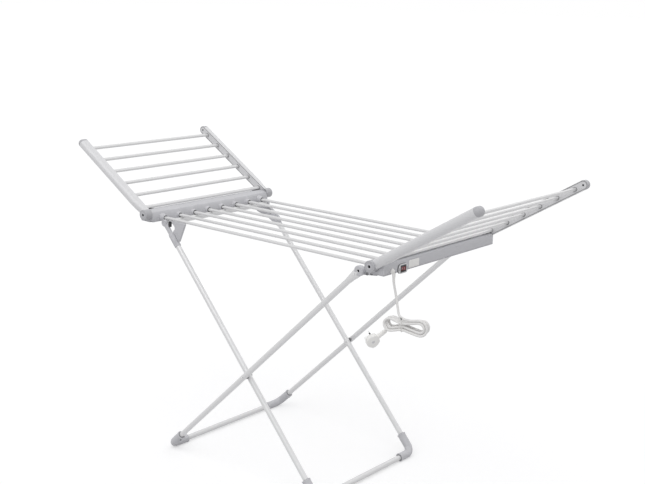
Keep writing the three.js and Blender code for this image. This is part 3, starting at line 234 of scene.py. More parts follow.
class Finishes(bpy.types.PropertyGroup):
    bars: colour("Bars", "Painted bars", (222, 222, 223))
    legs: colour("Legs", "Painted leg tubes", (224, 224, 225))
    rails: colour("Rails", "Painted wing rails", (220, 220, 222))
    plastic: colour("Plastic", "Grey moulded plastic", (201, 201, 205))
    # Dark plastic is also painted shade: the rings in the collar mouths, the wedge of the housings' shadow
    # line, the sheets in the hinge screw wells, the block in the near bracket's slot and the outline beside
    # the bezel
    dark: colour("Dark plastic", "Switch body and openings", (34, 34, 37))
    steel: colour("Screws", "Blackened screws", (42, 43, 47))
    lead: colour("Lead", "Outer sheath of the lead", (242, 241, 240))
    white: colour("White plastic", "Gland, tie and plug", (247, 246, 244))
    bezel: colour("Bezel", "Frame of the switch", (217, 217, 219))
    red: colour("Rocker", "Rocker of the switch", (128, 34, 38))
    silicone: colour("Heating cable", "Sheath of the heating cable", (138, 141, 147))
    floor: colour("Floor", "Plain studio floor", (205, 205, 206))


class StudioSettings(bpy.types.PropertyGroup):
    camera: place("Camera", "Where the camera stands", (2.02396, -2.33454, 1.39639))
    lens: FloatProperty(name="Lens", description="Focal length in millimetres", default=60.42, min=1)
    floor_half: length("Floor", "Half the side of the floor", 60)
    sky: strength("Sky", "Strength of the soft light all round", 0.62)
    glow: strength("Glow", "Strength of the floor's own light for the camera", 0.45)
    key: strength("Key", "Strength of the key light", 0.9)
    key_way: direction("Key way", "Way to the key light", (0.1, -0.6, 1.0))
    back: strength("Back", "Strength of the back light", 0.35)
    back_way: direction("Back way", "Way to the back light", (0.1, 0.8, 0.9))


GROUPS = {"airer_bars": BarSizes, "airer_rails": RailSizes, "airer_housings": HousingSizes,
          "airer_legs": LegSizes, "airer_screws": ScrewSizes, "airer_supply": SupplySizes,
          "airer_finishes": Finishes, "airer_studio": StudioSettings}


# Shader expressions

class Signal:
    """A socket of a finish that can be written in sums."""

    def __init__(self, finish, socket):
        self.finish, self.socket = finish, socket

    def maths(self, operation, *values):
        return self.finish.node("ShaderNodeMath", {"operation": operation}, *values)

    def __add__(self, other):
        return self.maths("ADD", self, other)

    def __mul__(self, other):
        return self.maths("MULTIPLY", self, other)

    __radd__ = __add__

    def within(self, low, high):
        """0 below low, 1 above high, smooth between"""
        return self.finish.node("ShaderNodeMapRange", {"interpolation_type": "SMOOTHSTEP"},
                                self, low, high, 0, 1)


class Finish:
    """A node tree of a material or a world that is built from expressions."""

    def __init__(self, owner, output="ShaderNodeOutputMaterial"):
        owner.use_nodes = True
        self.owner, self.tree, self.places = owner, owner.node_tree, None
        self.tree.nodes.clear()
        self.output = self.tree.nodes.new(output)

    def feed(self, socket, value):
        """Links a signal to a socket, or sets its value"""
        if isinstance(value, Signal):
            self.tree.links.new(value.socket, socket)
        else:
            socket.default_value = value

    def node(self, kind, settings, *values, output=0, **named):
        made = self.tree.nodes.new(kind)
        for key, value in settings.items():
            setattr(made, key, value)
        for index, value in enumerate(values):
            self.feed(made.inputs[index], value)
        for key, value in named.items():
            self.feed(made.inputs[key.replace("_", " ")], value)
        return Signal(self, made.outputs[output])

    def noise(self, scale, detail=2, stretch=None, roughness=0.5):
        self.places = self.places or self.node("ShaderNodeTexCoord", {}, output="Object")
        at = self.node("ShaderNodeMapping", {}, self.places, Scale=stretch) if stretch else self.places
        return self.node("ShaderNodeTexNoise", {}, Vector=at, Scale=scale, Detail=detail, Roughness=roughness)

    def rays(self, *names):
        """Outputs of one light path, by name"""
        path = self.tree.nodes.new("ShaderNodeLightPath")
        return [Signal(self, path.outputs[name]) for name in names]

    def blend(self, share, one, other):
        """A colour between two, at a share of the way"""
        made = self.tree.nodes.new("ShaderNodeMix")
        made.data_type = "RGBA"
        for index, value in ((0, share), (6, one), (7, other)):
            self.feed(made.inputs[index], value)
        return Signal(self, made.outputs[2])

    def bump(self, height, distance, strength):
        return self.node("ShaderNodeBump", {}, Height=height, Distance=distance, Strength=strength,
                         output="Normal")

    def shown(self, shader):
        """Gives the shader to the output"""
        self.tree.links.new(shader.socket, self.output.inputs["Surface"])
        return self.owner

    def surface(self, colour, roughness, **values):
        return self.shown(self.node("ShaderNodeBsdfPrincipled", {}, Base_Color=colour, Roughness=roughness,
                                    **values))


def linear(shade, factor=1.0):
    """A colour as it is seen, as the numbers that a shader takes"""
    made = [c / 12.92 if c <= 0.04045 else ((c + 0.055) / 1.055) ** 2.4 for c in shade]
    return (*(min(1, c * factor) for c in made), 1)


def painted(name, shade, metallic, roughness, draw):
    """Silver paint on metal: fine flake, faint draw marks along the tube, slight clouding"""
    finish = Finish(bpy.data.materials.new(name))
    clouds = finish.noise(9, 3)
    flake = finish.noise(2600, 1)
    marks = finish.noise(260, 2, stretch=draw)
    tone = clouds * 0.5 + marks * 0.3 + flake * 0.2
    base = finish.blend(tone, linear(shade, 0.93), linear(shade, 1.05))
    gloss = roughness - 0.05 + clouds * 0.06 + marks * 0.04
    relief = finish.bump(flake * 0.4 + marks * 0.6, 0.00004, 0.5)
    return finish.surface(base, gloss, Metallic=metallic, Normal=relief, Coat_Weight=0.15,
                          Coat_Roughness=0.25)


def moulded(name, shade, roughness, grain=1400, depth=0.00005, soil=0.05, coat=0.0):
    """Moulded plastic: spark-eroded grain, soft colour drift, duller low spots"""
    finish = Finish(bpy.data.materials.new(name))
    drift = finish.noise(14, 4, roughness=0.6)
    pits = finish.noise(grain, 2, roughness=0.65)
    tone = drift * 0.7 + pits * 0.3
    base = finish.blend(tone, linear(shade, 1 - soil), linear(shade, 1 + soil))
    gloss = roughness - 0.04 + drift * 0.05 + pits * 0.05
    relief = finish.bump(pits, depth, 0.6)
    return finish.surface(base, gloss, Normal=relief, Coat_Weight=coat)


def sheathed(name, shade, roughness):
    """Soft sheath of a lead: waxy, with a faint lay of the cores under it"""
    finish = Finish(bpy.data.materials.new(name))
    drift = finish.noise(30, 3)
    lay = finish.noise(420, 2)
    dust = finish.noise(900, 2).within(0.56, 0.7)
    base = finish.blend(drift * 0.8 + dust * 0.2, linear(shade, 1.03), linear(shade, 0.9))
    relief = finish.bump(lay, 0.00012, 0.5)
    return finish.surface(base, roughness + dust * 0.15, Normal=relief)


def blackened(name, shade, roughness, metallic):
    """Dark plated steel with rubbed high spots"""
    finish = Finish(bpy.data.materials.new(name))
    rubbed = finish.noise(700, 3).within(0.5, 0.75)
    base = finish.blend(rubbed, linear(shade), linear(shade, 2.2))
    return finish.surface(base, roughness + rubbed * -0.1, Metallic=metallic)


def finishes(context):
    """Every material of the airer, made once"""
    made = {m.name: m for m in bpy.data.materials if m.name.startswith("airer_")}
    if made:
        return made
    tint = context.scene.airer_finishes
    along_x, along_y, upright = (0.04, 1, 1), (1, 0.04, 1), (0.6, 1, 0.25)
    return {m.name: m for m in (
        painted("airer_rack_bars", tint.bars, 0.2, 0.36, along_x),
        painted("airer_wing_bars", tint.bars, 0.2, 0.36, along_y),
        painted("airer_legs", tint.legs, 0.3, 0.34, upright),
        painted("airer_rails", tint.rails, 0.12, 0.42, (0.3, 1, 0.3)),
        moulded("airer_rail_panel", [c * 0.7 for c in tint.rails], 0.5),
        moulded("airer_plastic", tint.plastic, 0.5),
        # A darker copy of the grey plastic, as painted shade: the shadow line along the housings, the dark
        # rings in the elbow mouths, the lug screw heads under the hinge discs, the crossing spacers and the
        # twisted ends of the tie
        moulded("airer_plastic_shade", [c * 0.62 for c in tint.plastic], 0.55),
        moulded("airer_dark", tint.dark, 0.45, soil=0.15),
        blackened("airer_steel", tint.steel, 0.4, 0.85),
        sheathed("airer_lead", tint.lead, 0.48),
        moulded("airer_white", tint.white, 0.38, depth=0.00003, soil=0.03, coat=0.3),
        moulded("airer_bezel", tint.bezel, 0.42, soil=0.03),
        moulded("airer_red", tint.red, 0.3, depth=0.00001, soil=0.08, coat=0.4),
        moulded("airer_cap", [c * 0.92 for c in tint.plastic], 0.5),
        moulded("airer_plate", tint.white, 0.6, grain=2400, depth=0.00001, soil=0.02),
        blackened("airer_pins", (170, 168, 164), 0.35, 0.8),
        sheathed("airer_silicone", tint.silicone, 0.6),
    )}


# Mesh helpers: each makes one closed part, which put() moves into a piece

def verts_in(made):
    return [item for item in made if isinstance(item, bmesh.types.BMVert)]


def edges_in(made):
    return [item for item in made if isinstance(item, bmesh.types.BMEdge)]


def bevel(part, geom, offset, segments, affect="EDGES", clamp=False):
    bmesh.ops.bevel(part, geom=geom, offset=offset, offset_type="OFFSET", affect=affect,
                    segments=segments, profile=0.5, material=-1, clamp_overlap=clamp)


def put(piece, part, where=None, material=0):
    """Moves a finished part into a piece, faces out"""
    bmesh.ops.transform(part, matrix=where or Matrix(), verts=part.verts)
    bmesh.ops.remove_doubles(part, verts=part.verts, dist=1e-6)
    bmesh.ops.recalc_face_normals(part, faces=part.faces)
    for face in part.faces:
        face.material_index = face.material_index or material
    mesh = bpy.data.meshes.new("part")
    part.to_mesh(mesh)
    part.free()
    piece.from_mesh(mesh)
    bpy.data.meshes.remove(mesh)


def linked(context, name, data):
    shown = bpy.data.objects.new(name, data)
    context.scene.collection.objects.link(shown)
    return shown


def finish_piece(context, name, piece, body, node, materials, sharp=32):
    """Makes the object, with its finishes, its body and the node that it stands for"""
    made = finishes(context)
    mesh = bpy.data.meshes.new(name)
    piece.to_mesh(mesh)
    piece.free()
    for material in materials:
        mesh.materials.append(made[f"airer_{material}"])
    mesh.polygons.foreach_set("use_smooth", [True] * len(mesh.polygons))
    mesh.set_sharp_from_angle(angle=math.radians(sharp))
    shown = linked(context, name, mesh)
    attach(shown, body)
    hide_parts(node)
    return shown


def station(centre, direction, wide, tall, up=(0, 0, 1)):
    """Where a unit ring stands: its middle, the way that it faces and its two radii"""
    facing = Vector(direction).normalized()
    across = Vector(up).cross(facing)
    across = across.normalized() if across.length > 1e-6 else Vector((1, 0, 0))
    over = facing.cross(across)
    made = Matrix((across * wide, over * tall, facing)).transposed().to_4x4()
    made.translation = Vector(centre)
    return made


def rings(at, axis, steps, up=(0, 0, 1), sense=1):
    """Stations along an axis, each from a distance along it and one radius or two"""
    at, axis = Vector(at), Vector(axis)
    return [station(at + axis * along, axis * sense, radii[0], radii[-1], up) for along, *radii in steps]


def carried(stations, sides=24, closed=False):
    """A ring carried from station to station, capped at its ends or joined to itself"""
    part = bmesh.new()
    ring = bmesh.ops.create_circle(part, segments=sides, radius=1, matrix=stations[0])["verts"]
    first = edges = list({edge for vert in ring for edge in vert.link_edges})
    for last, here in zip(stations, stations[1:]):
        made = bmesh.ops.extrude_edge_only(part, edges=edges)["geom"]
        bmesh.ops.transform(part, matrix=here @ last.inverted(), verts=verts_in(made))
        edges = [e for e in edges_in(made) if all(v in made for v in e.verts) and len(e.link_faces) == 1]
    if not closed:
        bmesh.ops.holes_fill(part, edges=first)
        bmesh.ops.holes_fill(part, edges=edges)
    return part


def turned(profile, steps=32):
    """A profile of radius and height pairs turned about Z"""
    part = bmesh.new()
    line = [part.verts.new((r, 0, z)) for r, z in profile]
    edges = [part.edges.new(pair) for pair in zip(line, line[1:])]
    bmesh.ops.spin(part, geom=line + edges, cent=(0, 0, 0), axis=(0, 0, 1), dvec=(0, 0, 0), angle=math.tau,
                   steps=steps, use_merge=True, use_duplicate=False)
    return part


def round_points(centre, radius, steps, start=0.0, sweep=math.tau):
    """Points round a circle or a part of one"""
    share = steps if abs(sweep) >= math.tau else steps - 1
    return [(centre[0] + radius * math.cos(start + sweep * k / share),
             centre[1] + radius * math.sin(start + sweep * k / share)) for k in range(steps)]


def rounded_rim(radius, low, high, edge, steps):
    """Profile points of an outer wall with both its rims rounded"""
    return [point for height, start in ((low + edge, -math.pi / 2), (high - edge, 0))
            for point in round_points((radius - edge, height), edge, steps + 1, start, math.pi / 2)]


def rectangle(across, up, at=(0, 0)):
    """Corners of a rectangle from half its sides and its middle"""
    signs = ((-1, -1), (1, -1), (1, 1), (-1, 1))
    return [(at[0] + side * across, at[1] + level * up) for side, level in signs]


def pulled(start, pull, end, share):
    """A value on the curve from start to end that is drawn toward pull"""
    return (1 - share) ** 2 * start + 2 * share * (1 - share) * pull + share ** 2 * end


def slab(outline, low, high, edge=0.0, rounds=0, holes=(), segments=3):
    """An outline with rounded corners, raised from low to high, with eased edges"""
    part = bmesh.new()
    corners = []
    for points in (outline, *holes):
        verts = [part.verts.new((x, y, low)) for x, y in points]
        for pair in zip(verts, verts[1:] + verts[:1]):
            part.edges.new(pair)
        corners = corners or verts
    radii = rounds if isinstance(rounds, list) else [rounds] * len(corners)
    for vert, radius in zip(corners, radii):
        if radius:
            bevel(part, [vert], radius, 6, "VERTICES")
    if holes:
        bmesh.ops.triangle_fill(part, use_beauty=True, use_dissolve=False, edges=part.edges[:],
                                normal=(0, 0, 1))
        bmesh.ops.dissolve_limit(part, angle_limit=0.01, use_dissolve_boundaries=False, verts=part.verts[:],
                                 edges=part.edges[:], delimit=set())
    else:
        bmesh.ops.contextual_create(part, geom=part.edges[:])
    made = bmesh.ops.extrude_face_region(part, geom=part.faces[:])["geom"]
    bmesh.ops.translate(part, vec=(0, 0, high - low), verts=verts_in(made))
    bmesh.ops.recalc_face_normals(part, faces=part.faces)
    if edge:
        rims = [e for e in part.edges if len(e.link_faces) == 2 and e.calc_face_angle(0) > 1
                and abs(e.verts[0].co.z - e.verts[1].co.z) < 1e-7]
        bevel(part, rims, edge, segments, clamp=True)
    return part


def box(low, high, edge, segments=2):
    """A block between two corners, with eased edges"""
    part = bmesh.new()
    low, high = Vector(low), Vector(high)
    bmesh.ops.create_cube(part, size=1, matrix=Matrix.Translation((low + high) / 2)
                          @ Matrix.Diagonal((*(high - low), 1)))
    bevel(part, part.edges[:], edge, segments)
    return part


def pipe(start, end, legs):
    """An open tube with a wall and eased ends"""
    start, end = Vector(start), Vector(end)
    way, run = (end - start).normalized(), (end - start).length
    up = (0, 1, 0) if abs(way.y) < 0.5 else (0, 0, 1)
    radius, bore, rim = legs.radius, legs.bore, 0.0004
    steps = [(0, bore), (0, radius - rim), (rim, radius), (run - rim, radius), (run, radius - rim),
             (run, bore), (0, bore)]
    return carried(rings(start, way, steps, up), 28, closed=True)


def oval_tube(half_length, bars):
    """A hollow oval bar along X, its wide way across Y"""
    rim = 0.0003
    steps = [(-half_length, bars.wall), (-half_length, rim), (-half_length + rim, 0), (half_length - rim, 0),
             (half_length, rim), (half_length, bars.wall), (-half_length, bars.wall)]
    sized = [(x, bars.width / 2 - inset, bars.thickness / 2 - inset) for x, inset in steps]
    return carried(rings((0, 0, 0), (1, 0, 0), sized), 32, closed=True)


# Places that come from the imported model

def middle(node):
    low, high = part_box(node)
    return (Vector(low) + Vector(high)) / 2


def rack_bar_lines(context):
    """How far each warm bar lies from the middle plane"""
    return [middle(f"rack_bar_{k}").y for k in range(1, context.scene.airer_bars.rack_count + 1)]


def hinge_of(end):
    """The hinge line of a wing, as it stands at the right end"""
    joint = next(j for j in frame["joints"] if j["name"] == f"{end}_wing_hinge")
    at = Vector(joint["pos_m"])
    return Vector((abs(at.x), 0, at.z))


def wing_place(end, rails):
    """From a wing's own axes, along its rails from the hinge, to the frame"""
    return ENDS[end] @ Matrix.Translation(hinge_of(end)) @ Matrix.Rotation(-rails.tilt, 4, "Y")


def outward(sign):
    """Turns Z away from the middle plane, to the far side or the near one"""
    return Matrix.Rotation(-sign * math.pi / 2, 4, "X")


def leg_line(legs, name, sign):
    """Foot and top of a leg's middle line, and the way that it runs"""
    if name == "outer_frame":
        foot, (x, z), y = legs.outer_foot, legs.outer_pivot, sign * legs.outer_plane
    else:
        foot, (x, z), y = legs.inner_foot, legs.inner_socket, sign * legs.inner_plane
    foot, top = Vector((foot, y, legs.foot_height)), Vector((x, y, z))
    return foot, top, (top - foot).normalized()


# The lead's route

def hank_axes():
    """Middle of the hank, and its ways along the runs and toward the front"""
    turn = Matrix.Rotation(HANK_TURN, 4, "Z")
    return Vector(HANK_MIDDLE), turn @ Vector((1, 0, 0)), turn @ Vector((0, -1, 0))


def hank_point(t):
    """A point after t loops, to a tenth of a millimetre: half a loop rounds the right fold, half the left"""
    first, second, third = HANK_REVERSALS
    inward = min(t, first) - min(max(t - first, 0), second - first) \
        + min(max(t - second, 0), third - second) - max(t - third, 0)
    radius = HANK_RADIUS - inward * HANK_PITCH
    layer = len(HANK_REVERSALS) / 2
    for reversal in HANK_REVERSALS:
        climb = min(max((t - reversal) / (2 * HANK_CLIMB) + 0.5, 0), 1)
        layer -= climb * climb * (3 - 2 * climb)
    half, step = divmod(t % 1 * LOOP_STEPS, LOOP_STEPS // 2)
    fold, side = (HANK_FOLDS[0], -1) if half else (HANK_FOLDS[1], 1)
    share = min(step, LOOP_STEPS // 2 - step) / RUN_STEPS
    if share > 1:
        angle = math.pi * (step - RUN_STEPS) / (LOOP_STEPS // 2 - 2 * RUN_STEPS)
        along, up = fold + side * radius * math.sin(angle), side * radius * math.cos(angle)
    else:
        waist = radius - WAIST_PULL * (1 + math.cos(math.pi * share)) / 2
        along, up = fold * share, side * waist if step < LOOP_STEPS / 4 else -side * waist
    (x, y, z), depth = HANK_MIDDLE, layer * HANK_PITCH
    cos, sin = math.cos(HANK_TURN), math.sin(HANK_TURN)
    place = (x + along * cos + depth * sin, y + along * sin - depth * cos, z + up)
    # Rounded first as millimetres with two decimals, then as metres with four
    return Vector([round(round(value * 1000, 2) / 1000, 4) for value in place])


def lead_route():
    """Every point of the lead's middle line, from the gland to the plug"""
    steps = range(1, round(HANK_LOOPS * LOOP_STEPS) + 1)
    return [*map(Vector, LEAD_DROP), *(hank_point(k / LOOP_STEPS) for k in steps), *map(Vector, LEAD_TAIL)]


# Pieces

class AirerView(bpy.types.Operator):
    """Sets the camera where the photograph was taken"""
    bl_idname = "airer.view"
    bl_label = "View"

    def execute(self, context):
        studio = context.scene.airer_studio
        camera = bpy.data.cameras.new("view")
        camera.sensor_width, camera.lens, camera.clip_start = 36, studio.lens, 0.05
        shown = linked(context, "view", camera)
        shown.matrix_world = Matrix.Translation(studio.camera) @ Matrix(CAMERA_AXES).transposed().to_4x4()
        context.scene.camera = shown
        return {"FINISHED"}


class AirerLead(bpy.types.Operator):
    """Lays the supply lead from its gland through the tied hank to its plug"""
    bl_idname = "airer.lead"
    bl_label = "Lead, gland, tie and plug"

    def execute(self, context):
        sizes, route = context.scene.airer_supply, lead_route()
        line = bpy.data.curves.new("lead", "CURVE")
        line.dimensions, line.resolution_u = "3D", 4
        line.bevel_depth, line.bevel_resolution, line.use_fill_caps = sizes.lead_radius, 4, True
        spline = line.splines.new("BEZIER")
        spline.bezier_points.add(len(route) - 1)
        for point, at in zip(spline.bezier_points, route):
            point.co = at
            point.handle_left_type = point.handle_right_type = "AUTO"
        line.materials.append(finishes(context)["airer_lead"])
        lead = linked(context, "lead", line)
        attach(lead, "rack")
        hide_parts("supply_lead", "lead_hank")
        self.gland(context, sizes)
        tie, plug = self.tie(context), self.plug(context, sizes)
        total = sum((after - before).length for before, after in zip(route, route[1:]))
        return {"FINISHED"}

    def gland(self, context, sizes):
        """A domed gland with a ribbed relief that turns the lead down"""
        y, z = sizes.gland
        radius, out = sizes.gland_radius, sizes.gland_projection
        piece = bmesh.new()
        neck, seat = 0.0046, 0.0003
        dome = [(0, -0.0045), (neck, -0.0045), (neck, seat), (radius - 0.0004, seat), (radius, 0.0008)]
        for k in range(8):
            angle = math.pi / 2 * k / 8
            dome.append((radius * math.cos(angle), out * (0.35 + 0.65 * math.sin(angle))))
        place_at = Matrix.Translation((context.scene.airer_housings.outer, y, z)) @ ALONG_X
        put(piece, turned([*dome, (0, out)], 36), place_at)
        start = Vector((LEAD_DROP[0][0], y, z - 0.0035))
        bend, end = Vector(LEAD_DROP[1]), Vector(LEAD_DROP[2])
        rows, turn_share = [], 0.7
        for k in range(25):
            share = k / 24
            if share < turn_share:
                at = start.lerp(bend, share / turn_share)
            else:
                at = bend.lerp(end, (share - turn_share) / (1 - turn_share) * 0.45)
            groove = 0.0005 if k % 4 in (1, 2) and 6 < k < 23 else 0
            wide = 0.0045 - 0.0008 * share - groove
            rows.append(station(at, (0.02 + 0.04 * share, 0, -1), wide, wide, up=(0, 1, 0)))
        put(piece, carried(rows, 24))
        finish_piece(context, "gland_with_relief", piece, "rack", "cord_gland", ["white"])

    def tie(self, context):
        """A flat band round the waist of the hank, its ends twisted together in front"""
        (centre, along, toward), up = hank_axes(), Vector((0, 0, 1))
        corners = [centre + toward * a * MM + up * b * MM for a, b in TIE_RING]
        count, loop = len(corners), []
        for k, here in enumerate(corners):
            before, after, beyond = corners[k - 1], corners[(k + 1) % count], corners[(k + 2) % count]
            slope, bow, twist = (after - before, before * 2 - here * 5 + after * 4 - beyond,
                                 here * 3 - before - after * 3 + beyond)
            loop += [(here * 2 + slope * t + bow * t ** 2 + twist * t ** 3) / 2 for t in (0, 0.25, 0.5, 0.75)]
        rows = []
        for before, here, after in zip(loop[-1:] + loop[:-1], loop, loop[1:] + loop[:1]):
            ahead = after - before
            rows.append(station(here, ahead, 0.0006, 0.002, up=along.cross(ahead.normalized())))
        piece = bmesh.new()
        put(piece, carried(rows + rows[:1], 8, closed=True))
        front, thread, last = centre + toward * 0.0146 + up * 0.0165, 0.0008, 7
        for side in (1, -1):
            path = []
            for k in range(last + 1):
                wind = k * 1.3
                path.append(front + toward * (0.0006 + 0.0004 * k) + along * side * 0.0011 * math.cos(wind)
                            + up * (0.0002 + 0.0009 * k + side * 0.0007 * math.sin(wind)))
            rows = [station(at, path[min(k + 1, last)] - path[max(k - 1, 0)], thread, thread, up=along)
                    for k, at in enumerate(path)]
            # The twisted ends take the darker plastic copy: painted shade in the twist
            put(piece, carried(rows, 8), None, 1)
        return finish_piece(context, "twist_tie", piece, "rack", "hank_tie", ["white", "plastic_shade"],
                            50)

    def plug(self, context, sizes):
        """A three-pin plug with a gripped body, a fuse cover and a ribbed relief"""
        way = Vector(sizes.plug_way).normalized()
        across = Vector(sizes.plug_side).cross(way).normalized()
        out = way.cross(across)
        half, side, top = (size / 2 for size in sizes.plug)
        where = Matrix((way, across, out)).transposed().to_4x4()
        where.translation = Vector(LEAD_TAIL[-1]) + way * (sizes.plug_gap + half)
        piece = bmesh.new()
        flank = [(-half, side * 0.62), (-half * 0.2, side), (half * 0.45, side), (half, side * 0.3)]
        outline = [(x, -y) for x, y in flank] + flank[::-1]
        radii = [0.004, 0.005, 0.005, 0.0045]
        put(piece, slab(outline, -top, top, 0.0028, radii + radii[::-1]), where)
        fuse_cover = rectangle(0.011, 0.012, (0.0005, 0))
        put(piece, slab(fuse_cover, top - 0.0006, top + 0.0005, 0.0004, 0.004), where)
        screw = ((0, -0.0001), (0.0032, -0.0001), (0.0038, -0.0006), (0.0042, 0.0004), (0, 0.0004))
        put(piece, turned([(r, height - top) for r, height in screw], 20), where, 1)
        put(piece, box((-0.0136, -0.004, top), (-0.0112, 0.004, top + 0.0009), 0.0003), where, 1)
        grip_top = top * 0.55
        for sign in (-1, 1):
            for k in range(4):
                x, y = -0.002 + 0.0036 * k, sign * side
                grip = box((x, y - 0.0007, -grip_top), (x + 0.0014, y + 0.0003, grip_top), 0.0003)
                put(piece, grip, where)
        self.plug_relief(piece, where @ Vector((0.002 - half, 0, 0)), out)
        self.pin(piece, where, (0.011, 0), (0.00315, 0.002), top + 0.00044, top + 0.022)
        for y in (0.011, -0.011):
            self.pin(piece, where, (-0.0055, y), (0.002, 0.00315), top + 0.009, top + 0.018)
        return finish_piece(context, "plug_with_pins", piece, "rack", "mains_plug",
                            ["white", "bezel", "dark", "pins"])

    def pin(self, piece, where, at, half, split, tip):
        """A pin with a dark sleeve round its root, up to the height where the metal starts"""
        slim = 0.96
        for low, high, share, edge, segments, material in ((0.004, split, 1, 0.0005, 2, 2),
                                                           (split - 0.001, tip, slim, 0.0006, 3, 3)):
            near = [c - h * share for c, h in zip(at, half)]
            far = [c + h * share for c, h in zip(at, half)]
            put(piece, box((*near, low), (*far, high), edge, segments), where, material)

    def plug_relief(self, piece, end, out):
        """The ribbed relief, drawn back along the lead from inside the plug"""
        route = [*map(Vector, LEAD_TAIL[-3:]), end]
        walk = [route[0].lerp(route[1], 0.3 + 0.7 * k / 8) for k in range(8)]
        walk += [route[1].lerp(route[2], k / 15) for k in range(15)]
        walk += [route[2].lerp(route[3], k / 14) for k in range(15)]
        rows, last = [], len(walk) - 1
        for k, at in enumerate(walk):
            groove = 0.0014 if k > 5 and k % 8 in (6, 7) else 0
            radius = 0.0058 + 0.0010 * k / last - groove
            ahead = walk[min(k + 2, last)] - walk[max(k - 2, 0)]
            rows.append(station(at, ahead, radius, radius * 0.95, up=out))
        put(piece, carried(rows, 24))


class AirerRackBars(bpy.types.Operator):
    """Makes the warm bars between the housings"""
    bl_idname = "airer.rack_bars"
    bl_label = "Rack bars"

    def execute(self, context):
        bars = context.scene.airer_bars
        for k in range(1, bars.rack_count + 1):
            node = f"rack_bar_{k}"
            low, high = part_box(node)
            piece = bmesh.new()
            put(piece, oval_tube((high[0] - low[0]) / 2, bars), Matrix.Translation(middle(node)))
            finish_piece(context, f"warm_bar_{k}", piece, "rack", node, ["rack_bars"])
        return {"FINISHED"}


